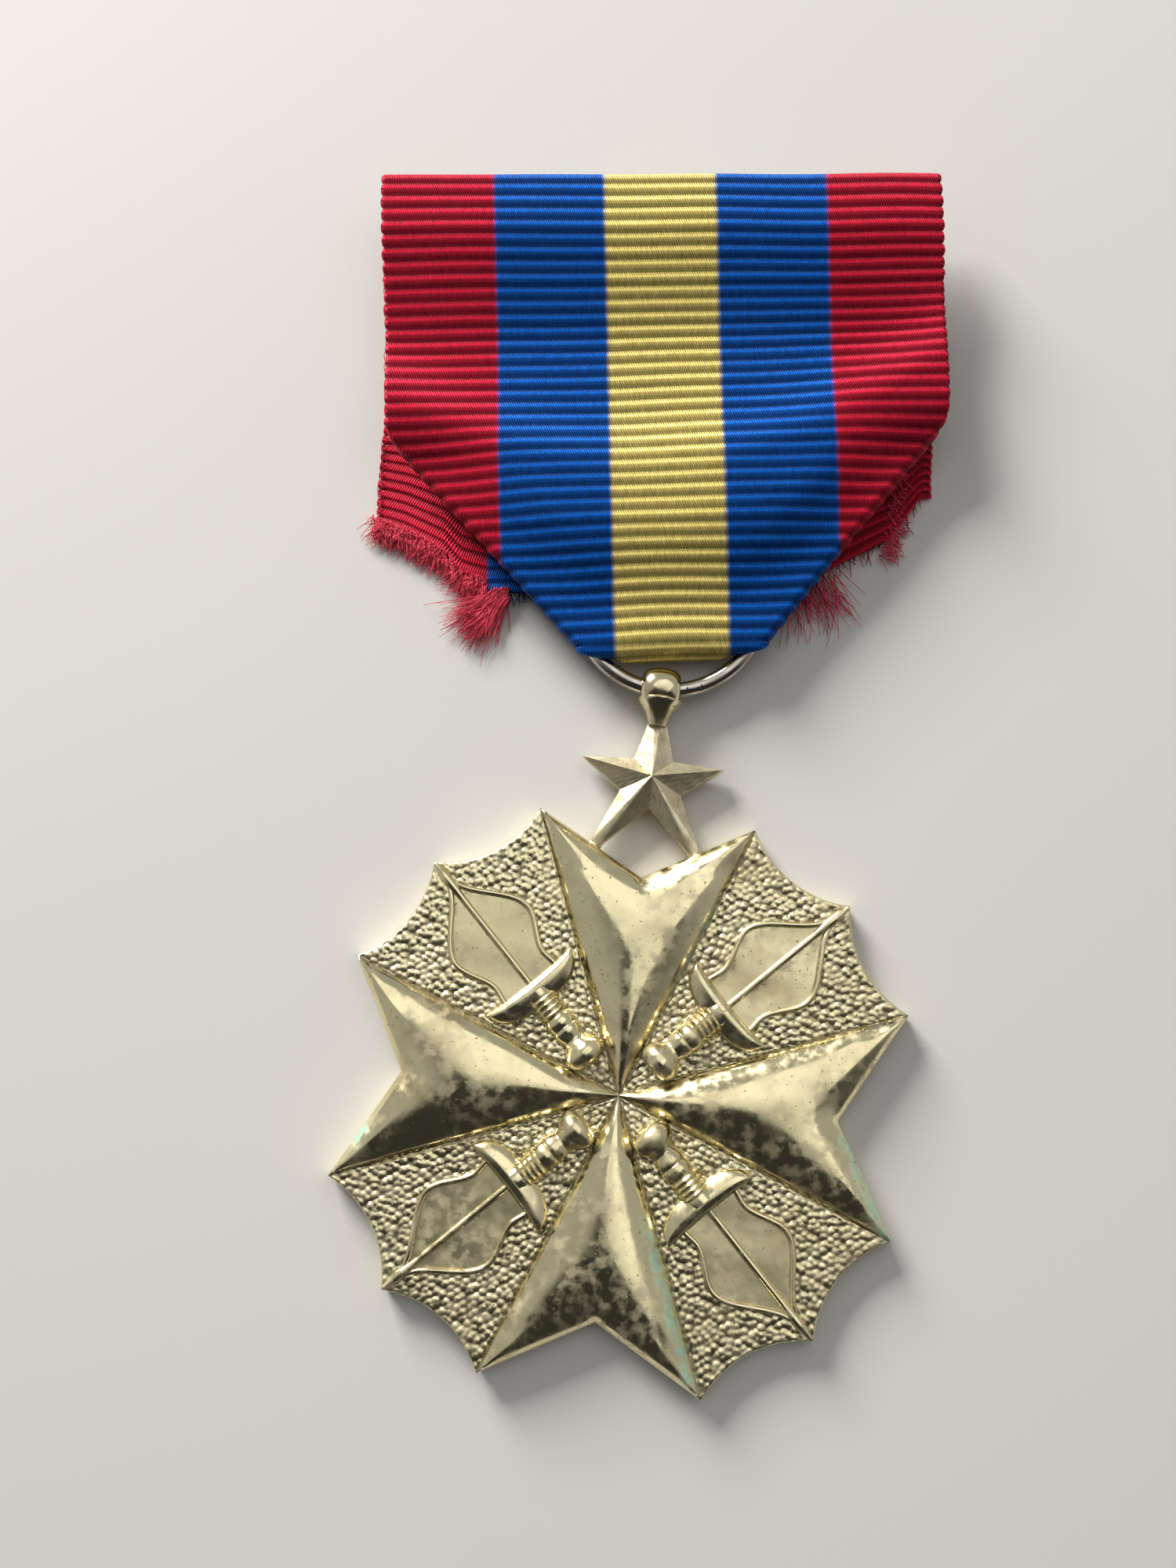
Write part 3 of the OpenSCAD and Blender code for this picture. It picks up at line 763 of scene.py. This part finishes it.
def eyelet():
    across = np.linspace(-1, 1, 29) * (BALL_HALF_W - 0.04)
    bead = [(BALL_R * (1 - abs(x / (BALL_R + 0.04)) ** 2.9) ** 0.45, x) for x in across]
    face_r = bead[-1][0]
    bead += [(face_r - 0.10, BALL_HALF_W), (BALL_BORE_R + 0.10, BALL_HALF_W)]
    bead += [(BALL_BORE_R + 0.03, BALL_HALF_W - 0.03), (BALL_BORE_R, BALL_HALF_W - 0.10)]
    bead += [(BALL_BORE_R, -BALL_HALF_W + 0.10), (BALL_BORE_R + 0.03, -BALL_HALF_W + 0.03)]
    bead += [(BALL_BORE_R + 0.10, -BALL_HALF_W), (face_r - 0.10, -BALL_HALF_W)]
    points, faces = revolve(bead, 48)
    ball_at = np.array([0, -RING_R, RING_Z])
    ball = (points[:, [2, 0, 1]] + ball_at, faces)
    steps = [(0.90, 0.80), (1.20, 0.77), (1.38, 0.68), (1.45, 0.66), (1.49, 0.71), (1.49, 0.80),
             (1.42, 0.93), (1.16, 1.28), (0.93, 1.62), (0.78, 1.95), (0.69, 2.20), (0.62, 2.50)]
    line = [(0, -RING_R - along, RING_Z) for _, along in steps]
    collar = tube_points(line, [radius for radius, _ in steps], 32)
    points, faces = join_shells([ball, collar])
    piece = make_piece("ball_and_collar", hung(points), faces, sharp=38)
    piece.data.materials.append(
        plain_metal("ball_gilt", (0.86, 0.78, 0.52, 1), (0.60, 0.50, 0.30, 1), 0.09, 0.28))
    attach(piece, "pendant")
    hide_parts("ball_eyelet")


eyelet()


# ---------------------------------------------------------------------------------------------
# Star
# A small cast star with ten sloping facets. Its upper point runs into the collar, and its two
# lower points stand on short feet on the cross.

STAR_R = 4.95
STAR_FOOT_R = 5.85
PEAK_UP = 0.22
STAR_Y = -12.50
STAR_LOW = 0.5
STAR_EDGE = 0.9
STAR_PEAK = 0.9
FOOT_TO = 6.0


def star_outline(turn):
    """The star's radius at each angle from its upper point. That point and the lower two are blunt."""
    off = np.abs((turn + math.pi) % (2 * math.pi) - math.pi)
    corners = [(0, 6.1), (43.2, 1.95), (75.6, 4.9), (111.6, 2.2), (144, 7.3), (180, 1.9)]
    radius = np.zeros(off.shape)
    for (first, near), (second, far) in zip(corners, corners[1:]):
        a, b = math.radians(first), math.radians(second)
        x, y = near * math.cos(a), near * math.sin(a)
        dx, dy = far * math.cos(b) - x, far * math.sin(b) - y
        part = (off >= a - 1e-9) & (off <= b + 1e-9)
        radius[part] = (x * dy - y * dx) / (np.cos(off[part]) * dy - np.sin(off[part]) * dx)
    for middle, blunt in ((0, STAR_R), (math.radians(144), STAR_FOOT_R)):
        aside = np.abs(off - middle)
        radius = np.where(aside < 0.3, np.minimum(radius, blunt / np.cos(aside)), radius)
    return radius


def star():
    columns = 200
    turn = np.linspace(0, 2 * math.pi, columns, endpoint=False)
    edge_r = star_outline(turn)
    shares = np.r_[np.linspace(0.04, 0.96, 24), 0.985, 1.0]
    top = STAR_LOW + STAR_EDGE
    rows = []
    for u in shares:
        x, y = -np.sin(turn) * edge_r * u, np.cos(turn) * edge_r * u + PEAK_UP * (1 - u)
        z = top + STAR_PEAK * (1 - u) ** 1.08 - 0.07 * (u > 0.99)
        z = z + 0.008 * ripple(x, y, 21, 1.1) + 0.007 * ripple(x, y, 22, 0.45)
        rows.append(np.stack([x, y, z], -1))
    for u, z in ((1.0, STAR_LOW + 0.09), (0.97, STAR_LOW), (0.80, STAR_LOW), (0.76, STAR_LOW + 0.12)):
        rows.append(np.stack([-np.sin(turn) * edge_r * u, np.cos(turn) * edge_r * u, 0 * turn + z], -1))
    ends = [[0, PEAK_UP, top + STAR_PEAK], [0, 0, STAR_LOW + 0.12]]
    points = np.concatenate(rows + [ends])
    points[:, 1] += STAR_Y
    shells = [(points, ring_faces(len(rows), columns))]
    for side in (-1, 1):
        leg = np.array([(4.5, 0.10), (5.1, 0.34), (5.5, 0.44), (5.8, 0.50), (FOOT_TO, 0.55)])
        slope = math.radians(54)
        line = [(side * out * math.cos(slope), STAR_Y - out * math.sin(slope), STAR_LOW + 0.47)
                for out, _ in leg]
        shells.append(tube_points(line, leg[:, 1], 20))
    points, faces = join_shells(shells)
    piece = make_piece("cast_star", hung(points), faces, sharp=24)
    piece.data.materials.append(
        plain_metal("star_gilt", (0.82, 0.73, 0.49, 1), (0.46, 0.38, 0.24, 1), 0.34, 0.54, 2200))
    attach(piece, "pendant")
    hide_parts("star_suspender")


star()


# ---------------------------------------------------------------------------------------------
# Cross badge
# One struck and gilt piece. Four smooth swelling arms, each forked at its end, stand proud of four
# pebbled fields with scalloped edges. Verdigris has grown in a few seams.

BADGE_DROP = 33.30
ARM_R = 19.6
ARM_HALF = math.radians(21.5)
NOTCH_R = 14.3
SCALLOP = 1.15
FIELD_Z = 1.5
BACK_HOLLOW = 0.07
GUARD_AT = 9.2
BLADE_HALF = 3.05
PEBBLE = (0.50, 0.40)


def nearest_arm(turn):
    """The number of the arm a direction is nearest to, and how far it is turned from its middle."""
    arm = np.round(turn / (math.pi / 2))
    return arm.astype(int) % 4, turn - arm * math.pi / 2


def badge_radius(turn):
    """The outline's radius: straight forked ends on the arms, hollow scallops between the points."""
    _, off = nearest_arm(turn)
    off = np.abs(off)
    tip = ARM_R * np.array([math.cos(ARM_HALF), math.sin(ARM_HALF)])
    d = tip - np.array([NOTCH_R, 0])
    forked = NOTCH_R * d[1] / (np.cos(off) * d[1] - np.sin(off) * d[0])
    part = (math.pi / 4 - ARM_HALF) / 2
    chord = 2 * ARM_R * math.sin(part)
    bow = (chord ** 2 / 4 + SCALLOP ** 2) / (2 * SCALLOP)
    middle = ARM_R * math.cos(part) - SCALLOP + bow
    away = off - ARM_HALF - part
    hollow = middle * np.cos(away) - np.sqrt(np.maximum(bow ** 2 - (middle * np.sin(away)) ** 2, 0))
    return np.where(off <= ARM_HALF, forked, hollow)


def smaller(a, b, blend):
    """The smaller of two values, with a rounded change from one to the other."""
    share = np.clip(0.5 + 0.5 * (b - a) / blend, 0, 1)
    return b + (a - b) * share - blend * share * (1 - share)


def blade_half(along):
    """Half a blade's width, by distance from the badge's middle."""
    out = along - GUARD_AT
    near = 2.10 - 0.14 * smooth_step(out / 1.2) + (BLADE_HALF - 1.96) * smooth_step((out - 1.1) / 3.0)
    far = 0.2 + (BLADE_HALF - 0.2) * (1 - smooth_step((out - 4.1) / 4.7))
    return np.where(out < 4.1, near, far)


def pebbles(x, y):
    """Rounded grains on a jumbled lattice: 1 on a crown, 0 in the gaps between them."""
    rng = np.random.default_rng(77)
    jumble = rng.uniform(-0.36, 0.36, (64, 64, 2))
    size = rng.uniform(0.75, 1.15, (64, 64))
    a = (x * 0.80 + y * 0.60) / PEBBLE[0]
    b = (y * 0.80 - x * 0.60) / PEBBLE[1]
    row = np.floor(b)
    best = np.full(x.shape, 9.0)
    tall = np.zeros(x.shape)
    for i in (-1, 0, 1):
        for j in (-1, 0, 1):
            cell_b = row + j
            shift = 0.5 * (cell_b % 2)
            cell_a = np.floor(a - shift) + i
            at = (cell_a.astype(int) % 64, cell_b.astype(int) % 64)
            off_a = (cell_a + 0.5 + shift + jumble[at][..., 0] - a) * PEBBLE[0]
            off_b = (cell_b + 0.5 + jumble[at][..., 1] - b) * PEBBLE[1]
            far = np.hypot(off_a * 0.88, off_b)
            nearer = far < best
            best = np.where(nearer, far, best)
            tall = np.where(nearer, size[at], tall)
    return tall * np.clip(1 - (best / 0.30) ** 2, 0, 1)


def badge_surface(turn, radius, edge_r):
    """Height, and finish marks: gap darkness, field, verdigris."""
    arm, off = nearest_arm(turn)
    x, y = radius * np.cos(turn), radius * np.sin(turn)
    from_side = radius * np.sin(ARM_HALF - np.abs(off))
    both_sides = smaller(radius * np.sin(ARM_HALF - off), radius * np.sin(ARM_HALF + off), 0.2 * radius)
    tip = ARM_R * np.array([math.cos(ARM_HALF), math.sin(ARM_HALF)])
    d = tip - np.array([NOTCH_R, 0])
    d = d / np.hypot(*d)
    px, py = radius * np.cos(off), radius * np.sin(off)
    from_fork = (NOTCH_R - px) * d[1] + np.abs(py) * d[0]
    ease = 0.001 + 1.7 * smooth_step(from_fork / 1.3)
    past_notch = (px - NOTCH_R) * d[1]
    fork = np.maximum(-smaller(past_notch + py * d[0], past_notch - py * d[0], ease), 0)
    inside = np.maximum(smaller(np.maximum(both_sides, 0), fork, 2.2 * smooth_step(fork / 2)), 0)
    swell = 0.74 * (1 - np.exp(-inside / 0.62)) + 0.96 * (1 - np.exp(-inside / 3.6))
    swell = swell * smooth_step(radius / 3 + 0.35)
    swell = swell + 0.030 * ripple(x, y, 61, 7.0) * smooth_step(inside / 1.5)
    on_arm = from_side >= 0
    diagonal = (turn - math.pi / 4) % (math.pi / 2)
    diagonal = np.where(diagonal > math.pi / 4, diagonal - math.pi / 2, diagonal)
    along, aside = radius * np.cos(diagonal), radius * np.abs(np.sin(diagonal))
    to_blade = np.where(along > GUARD_AT, aside - blade_half(along), 9.0)
    grain = pebbles(x, y)
    rough_part = smooth_step(to_blade / 0.22) * smooth_step(-from_side / 0.16)
    rough_part = rough_part * smooth_step((edge_r - radius) / 0.25)
    field = -0.10 + 0.135 * grain * rough_part + 0.03 * (1 - rough_part)
    field = field - 0.05 * np.exp(-((-from_side - 0.08) / 0.09) ** 2)
    field = field + 0.02 * ripple(x, y, 62, 5.0)
    height = FIELD_Z + np.where(on_arm, swell - 0.02, field)
    gaps = np.where(on_arm, 0.55 * np.exp(-from_side / 0.10), rough_part * (1 - np.clip(grain * 1.5, 0, 1)))
    gaps = np.maximum(gaps, 0.9 * np.exp(-(from_side / 0.09) ** 2))
    patchy = 0.5 + 0.5 * ripple(x, y, 63, 1.3) + 0.35 * ripple(x, y, 64, 0.5)
    lower_seam = np.exp(-((from_side - 0.45) / 0.34) ** 2)
    lower_seam = lower_seam * smooth_step((radius - 7.0) / 3) * smooth_step((19.3 - radius) / 1.5)
    right_fork = np.exp(-((from_fork - 0.3) / 0.32) ** 2) * smooth_step(-py / 2)
    left_fork = 1.5 * np.exp(-((from_fork - 0.15) / 0.4) ** 2 - ((py - 4.3) / 0.75) ** 2)
    top_seam = 0.8 * np.exp(-((from_side - 0.05) / 0.11) ** 2)
    top_seam = top_seam * smooth_step((radius - 6.5) / 2) * smooth_step((15.5 - radius) / 2)
    sites = [(arm == 3) & (off > 0), (arm == 0) & (off < 0), (arm == 2) & (off > 0), (arm == 1) & (off < 0)]
    green = np.select(sites, [lower_seam, right_fork, left_fork, top_seam], 0.0)
    green = np.clip(green * (0.35 + patchy), 0, 1)
    marks = np.stack([gaps, np.where(on_arm, 0.0, 1.0), green, np.ones(x.shape)], -1)
    return height, marks


def gilt_material():
    """Polished pale gilt with dull clouds and specks, darker gaps between grains, and verdigris."""
    material, nodes, links, surface = new_material("struck_gilt")
    sums, noise, mix = node_tools(nodes, links)
    place = nodes.new("ShaderNodeTexCoord").outputs["Object"]
    marks = nodes.new("ShaderNodeAttribute")
    marks.attribute_name = "finish"
    split = nodes.new("ShaderNodeSeparateColor")
    links.new(marks.outputs["Color"], split.inputs["Color"])
    gaps, field, green = split.outputs
    cloud = noise(place, 420, 6, 0.42, 0.64)
    patch = noise(place, 170, 3, 0.46, 0.66)
    specks = noise(place, 3600, 2, 0.67, 0.73)
    dull = sums("MULTIPLY", cloud, sums("ADD", sums("MULTIPLY", patch, 0.6), 0.25))
    tone = mix(dull, (0.90, 0.80, 0.49, 1), (0.58, 0.48, 0.28, 1))
    tone = mix(sums("MULTIPLY", specks, 0.8), tone, (0.10, 0.08, 0.05, 1))
    tone = mix(sums("MULTIPLY", gaps, 0.72), tone, (0.11, 0.09, 0.055, 1))
    grown = noise(place, 2600, 4, 0.30, 0.55)
    growth = sums("MULTIPLY", green, sums("ADD", sums("MULTIPLY", grown, 0.6), 0.4))
    tone = mix(growth, tone, mix(grown, (0.10, 0.30, 0.21, 1), (0.34, 0.58, 0.44, 1)))
    film = sums("MULTIPLY", noise(place, 1250, 8, 0.46, 0.64), noise(place, 190, 3, 0.38, 0.56))
    tone = mix(sums("MULTIPLY", film, 0.45), tone, (0.50, 0.44, 0.32, 1))
    links.new(tone, surface.inputs["Base Color"])
    bare = sums("SUBTRACT", sums("SUBTRACT", 1.0, growth), sums("MULTIPLY", film, 0.22))
    links.new(sums("MAXIMUM", bare, 0.0), surface.inputs["Metallic"])
    tarnish = sums("ADD", sums("MULTIPLY", noise(place, 1300, 5, 0.42, 0.60), 0.9), 0.3)
    rough = sums("MULTIPLY", sums("MULTIPLY", dull, tarnish), 0.36)
    rough = sums("ADD", rough, sums("MULTIPLY", field, 0.17))
    rough = sums("ADD", rough, sums("MULTIPLY", sums("ADD", growth, specks), 0.5))
    rough = sums("ADD", rough, sums("MULTIPLY", film, 0.22))
    links.new(sums("ADD", rough, 0.10), surface.inputs["Roughness"])
    fine = noise(place, 1500, 5, 0.2, 0.8)
    add_bump(nodes, links, surface, fine, 0.010, 0.35)
    return material


def paint_marks(piece, marks):
    """Store the finish marks on the piece's points, where the gilt material reads them."""
    layer = piece.data.color_attributes.new("finish", "FLOAT_COLOR", "POINT")
    layer.data.foreach_set("color", np.asarray(marks, np.float32).ravel())


def badge():
    field = np.linspace(ARM_HALF, math.pi / 2 - ARM_HALF, 189)
    arm = np.linspace(-ARM_HALF, ARM_HALF, 73)[:-1]
    quarter = np.concatenate([arm, field[:-1]])
    turn = np.concatenate([quarter + k * math.pi / 2 for k in range(4)])
    columns = len(turn)
    edge_r = badge_radius(turn)
    shares = np.r_[np.linspace(0.006, 0.988, 205), 0.9925, 0.996, 0.9985]
    rows, marks = [], []
    for u in shares:
        radius = edge_r * u
        height, mark = badge_surface(turn, radius, edge_r)
        lip = np.clip(1 - (edge_r - radius) / 0.14, 0, 1)
        height = height - 0.14 * (1 - np.sqrt(np.maximum(1 - lip ** 2, 0)))
        rows.append(np.stack([radius * np.cos(turn), radius * np.sin(turn), height], -1))
        marks.append(mark)
    plain = np.tile([0.0, 0.0, 0.0, 1.0], (columns, 1))
    for u, z in ((1.0, FIELD_Z - 0.20), (1.0, 0.12), (0.994, 0.0), (0.965, 0.0), (0.960, BACK_HOLLOW),
                 (0.60, BACK_HOLLOW), (0.20, BACK_HOLLOW)):
        rows.append(np.stack([edge_r * u * np.cos(turn), edge_r * u * np.sin(turn), 0 * turn + z], -1))
        marks.append(plain)
    points = np.concatenate(rows + [[[0, 0, rows[0][:, 2].mean()], [0, 0, BACK_HOLLOW]]])
    marks = np.concatenate(marks + [plain[:2]])
    faces = ring_faces(len(rows), columns)
    points[:, 1] -= BADGE_DROP
    piece = make_piece("struck_cross", hung(points), faces, sharp=50)
    paint_marks(piece, marks)
    piece.data.materials.append(gilt)
    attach(piece, "pendant")
    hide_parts("cross_badge")


gilt = gilt_material()
badge()


# ---------------------------------------------------------------------------------------------
# Swords on the badge
# Four short broad swords in raised work, one in each field, points outward: a wire line round the
# leaf-shaped blade, a rib down its middle, a half-moon guard, and a ringed grip with a bun pommel.

GUARD_HALF = 3.5
GUARD_DEPTH = 1.6
GUARD_RISE = 0.80
GUARD_ROWS = 41
GUARD_SIDES = 20
WIRE_TO = 17.9


def guard_shell():
    """A boat-shaped bar: nearly straight towards the blade, bowed towards the grip."""
    rows = []
    for t in np.linspace(-1, 1, GUARD_ROWS):
        full = max(1 - abs(t) ** 3.0, 0.0) ** 0.5
        horn = 0.14 * t * t
        near, far = GUARD_AT + 0.12 + horn, GUARD_AT + horn - GUARD_DEPTH * full - 0.06
        tall = GUARD_RISE * (0.30 + 0.70 * full)
        ring_of_points = []
        for a in np.linspace(0, 2 * math.pi, GUARD_SIDES, endpoint=False):
            across = math.cos(a)
            lift = math.sin(a)
            x = (near + far) / 2 + (near - far) / 2 * across
            ridge = 1 - abs(across - 0.45) * 0.30
            z = FIELD_Z - 0.1 + (tall + 0.1) * max(lift, 0) ** 0.5 * ridge + 0.5 * min(lift, 0)
            ring_of_points.append((x, t * GUARD_HALF, z))
        rows.append(ring_of_points)
    rows = np.array(rows)
    points = np.concatenate([rows.reshape(-1, 3), rows[[0, -1]].mean(1)])
    return points, [face[::-1] for face in ring_faces(GUARD_ROWS, GUARD_SIDES)]


def grip_shell():
    """The ringed grip and its pommel, turned about the sword's own line."""
    steps = [(2.60, 0.30), (2.66, 0.75), (2.85, 1.12), (3.15, 1.36), (3.50, 1.42), (3.85, 1.33),
             (4.15, 1.12), (4.40, 0.90), (4.62, 0.78), (4.75, 0.80), (4.95, 0.93), (5.30, 1.00),
             (5.55, 1.00), (5.60, 0.94), (5.65, 1.00), (6.05, 1.03), (6.45, 0.98), (6.52, 0.88)]
    bead = [(0, 0.90), (0.07, 1.02), (0.17, 1.08), (0.27, 1.02), (0.34, 0.90)]
    for k in range(4):
        steps += [(6.58 + 0.37 * k + along, radius) for along, radius in bead]
    steps += [(8.15, 0.95), (8.6, 0.95)]
    line = [(along, 0, FIELD_Z - 0.05) for along, _ in steps]
    return tube_points(line, [radius for _, radius in steps], 28)


def blade_shells():
    """The wire line along both sides of the blade, and the rib down its middle."""
    along = np.linspace(GUARD_AT + 0.05, WIRE_TO, 60)
    shells = []
    for side in (-1, 1):
        line = np.stack([along, side * blade_half(along), 0 * along + FIELD_Z - 0.01], -1)
        wire = 0.20 * np.minimum(1, 0.55 + (WIRE_TO - along) / 2)
        shells.append(tube_points(line, wire, 10))
    along = np.linspace(GUARD_AT - 0.1, 19.35, 40)
    line = np.stack([along, 0 * along, 0 * along + FIELD_Z - 0.03], -1)
    rib = 0.23 + 0.12 * smooth_step((along - 16.4) / 1.6) - 0.18 * smooth_step((along - 18.2) / 1.2)
    return shells + [tube_points(line, rib, 12)]


def sword(number):
    turn = math.radians(45 + 90 * number)
    points, faces = join_shells([guard_shell(), grip_shell()] + blade_shells())
    x, y = points[:, 0].copy(), points[:, 1].copy()
    points[:, 0] = x * math.cos(turn) - y * math.sin(turn)
    points[:, 1] = x * math.sin(turn) + y * math.cos(turn) - BADGE_DROP
    piece = make_piece(f"sword_{number + 1}", hung(points), faces, sharp=60)
    low = np.clip((FIELD_Z + 0.16 - points[:, 2]) / 0.2, 0, 1)
    paint_marks(piece, np.stack([0.8 * low, 0 * low + 0.25, 0 * low, 0 * low + 1], -1))
    piece.data.materials.append(gilt)
    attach(piece, "pendant")


for number in range(4):
    sword(number)


# ---------------------------------------------------------------------------------------------
# Brooch: top bar, plate, hinge, catch and pin
# Pressed brass parts behind the ribbon's top, with eased edges. The bar keeps the fold straight,
# the plate carries the hinge and the catch, and the steel pin turns on its rivet.

PLATE_Y = 24.65
PLATE_Z = 2.59
PLATE_T = 0.5
PLATE_W = 6.5
HINGE_X = 13.5
PIN_Z = 0.94
EYE_BORE_R = 0.45
EYE_R = 0.94
EYE_HALF = 0.60


def eased_copy(node, name, width):
    """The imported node's own shape with its sharp edges rounded off."""
    source = next(o for o in bpy.data.objects if o.type == "MESH" and o.name == node)
    mesh = source.data.copy()
    mesh.name = name
    mesh.materials.clear()
    piece = bpy.data.objects.new(name, mesh)
    piece.matrix_world = source.matrix_world
    bpy.context.scene.collection.objects.link(piece)
    weld = piece.modifiers.new("weld", "WELD")
    weld.merge_threshold = 1e-6
    flat = piece.modifiers.new("flat", "DECIMATE")
    flat.decimate_type = "DISSOLVE"
    flat.angle_limit = math.radians(1.0)
    ease = piece.modifiers.new("ease", "BEVEL")
    ease.width = width * MM
    ease.segments = 3
    ease.limit_method = "ANGLE"
    ease.angle_limit = math.radians(35)
    even = piece.modifiers.new("even", "WEIGHTED_NORMAL")
    even.keep_sharp = True
    bpy.context.view_layer.update()
    made = bpy.data.meshes.new_from_object(piece.evaluated_get(bpy.context.evaluated_depsgraph_get()))
    piece.modifiers.clear()
    piece.data = made
    made.polygons.foreach_set("use_smooth", np.ones(len(made.polygons), bool))
    made.set_sharp_from_angle(angle=math.radians(50))
    return piece


def brooch():
    brass = plain_metal("brooch_brass", (0.72, 0.53, 0.24, 1), (0.34, 0.22, 0.09, 1), 0.26, 0.50, 900)
    steel = plain_metal("rivet_steel", (0.60, 0.58, 0.54, 1), (0.34, 0.31, 0.27, 1), 0.22, 0.42, 1800)
    for node, name, width in (("top_bar", "fold_bar", 0.20), ("brooch_plate", "pin_plate", 0.12),
                              ("hinge_bracket", "hinge", 0.07), ("clip_catch", "catch", 0.07),
                              ("hinge_rivet", "rivet", 0.06)):
        piece = eased_copy(node, name, width)
        of_steel = node == "hinge_rivet"
        piece.data.materials.append(steel if of_steel else brass)
        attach(piece, "mount")
        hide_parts(node)


def pin():
    steel = plain_metal("pin_steel", (0.62, 0.61, 0.58, 1), (0.36, 0.33, 0.29, 1), 0.18, 0.38, 1800)
    lower = [(EYE_BORE_R, 0.10 - EYE_HALF), (EYE_BORE_R + 0.10, -EYE_HALF), (EYE_R - 0.10, -EYE_HALF),
             (EYE_R, 0.10 - EYE_HALF)]
    eye = lower + [(r, -z) for r, z in lower[::-1]]
    points, faces = revolve([(r - 0.005, z) for r, z in eye], 40)
    eye_shell = (points[:, [0, 2, 1]] * [1, -1, 1], faces)
    steps = [(0.70, 0.42), (0.80, 0.45), (24.9, 0.45), (25.8, 0.44), (26.6, 0.40), (28.0, 0.28),
             (29.2, 0.15), (29.9, 0.06), (30.0, 0.03)]
    step_at, step_r = zip(*steps)
    along = np.interp(np.linspace(0, len(steps) - 1, 60), np.arange(len(steps)), step_at)
    radii = np.interp(along, step_at, step_r)
    line = np.stack([-along, 0 * along, 0 * along], -1)
    points, faces = join_shells([eye_shell, tube_points(line, radii, 20)])
    piece = make_piece("steel_pin", from_ring(points + [HINGE_X, PLATE_Y, PIN_Z]), faces, sharp=45)
    piece.data.materials.append(steel)
    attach(piece, "pin")
    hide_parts("brooch_pin")


brooch()
pin()


# ---------------------------------------------------------------------------------------------
# Sewing thread
# Two-ply red thread: loops that hold the plate to the ribbon at its four holes, and four short
# stitches that hold the turned-up end of the strip behind the front.

SEW_X = 14.8
SEW_Y = (26.6, 22.7)
TACK_X = 2.1
TACK_Y = (10.75, 11.45)
TACK_Z = 1.90


def two_ply(line, twist=0.55, radius=0.085):
    """Two thin strands wound round each other along a line."""
    line = np.asarray(line, float)
    lengths = np.r_[0, np.cumsum(np.linalg.norm(np.diff(line, axis=0), axis=1))]
    at = np.arange(0, lengths[-1], 0.06)
    line = np.stack([np.interp(at, lengths, line[:, i]) for i in range(3)], -1)
    tangent = np.gradient(line, axis=0)
    tangent /= np.linalg.norm(tangent, axis=1, keepdims=True)
    one = np.cross(tangent, [0.35, 0.2, 0.91])
    one /= np.linalg.norm(one, axis=1, keepdims=True)
    two = np.cross(tangent, one)
    shells = []
    for start in (0, math.pi):
        turn = (at / twist * 2 * math.pi + start)[:, None]
        shells.append(tube_points(line + radius * 0.8 * (np.cos(turn) * one + np.sin(turn) * two),
                                  np.full(len(line), radius), 6))
    return shells


def thread_material():
    material, nodes, links, surface = new_material(
        "red_thread", Roughness=0.65, Sheen_Weight=0.2, Specular_IOR_Level=0.3)
    _, noise, mix = node_tools(nodes, links)
    place = nodes.new("ShaderNodeTexCoord").outputs["Object"]
    links.new(mix(noise(place, 2500, 3), (0.20, 0.006, 0.012, 1), (0.42, 0.02, 0.035, 1)),
              surface.inputs["Base Color"])
    add_bump(nodes, links, surface, noise(place, 9000, 2, 0.2, 0.8), 0.02, 0.5)
    return material


def threads():
    cotton = thread_material()
    shells = []
    for x in (-SEW_X, SEW_X):
        for y, out in zip(SEW_Y, (1, -1)):
            edge = PLATE_Y + out * (PLATE_W / 2 + 0.30)
            low, high = PLATE_Z - 0.14, PLATE_Z + PLATE_T + 0.16
            for turn in (-0.12, 0.14):
                loop = [(x + turn, y, low), (x + turn * 0.6, y, high), (x, (y + edge) / 2, high + 0.06),
                        (x - turn * 0.6, edge, high), (x - turn, edge, low), (x + turn, y, low)]
                shells += two_ply(loop)
    points, faces = join_shells(shells)
    loops = make_piece("plate_threads", from_ring(points), faces)
    loops.data.materials.append(cotton)
    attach(loops, "mount")
    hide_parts("plate_stitches")
    shells = []
    for x in (-TACK_X, TACK_X):
        for y in TACK_Y:
            bow = [(x + t * 0.45, y + 0.05 * t, TACK_Z - 0.10 * (1 - t * t)) for t in np.linspace(-1, 1, 9)]
            shells += two_ply(bow)
    points, faces = join_shells(shells)
    tacks = make_piece("corner_threads", from_ring(points), faces)
    tacks.data.materials.append(cotton)
    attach(tacks, "mount")
    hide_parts("corner_tacks")


threads()
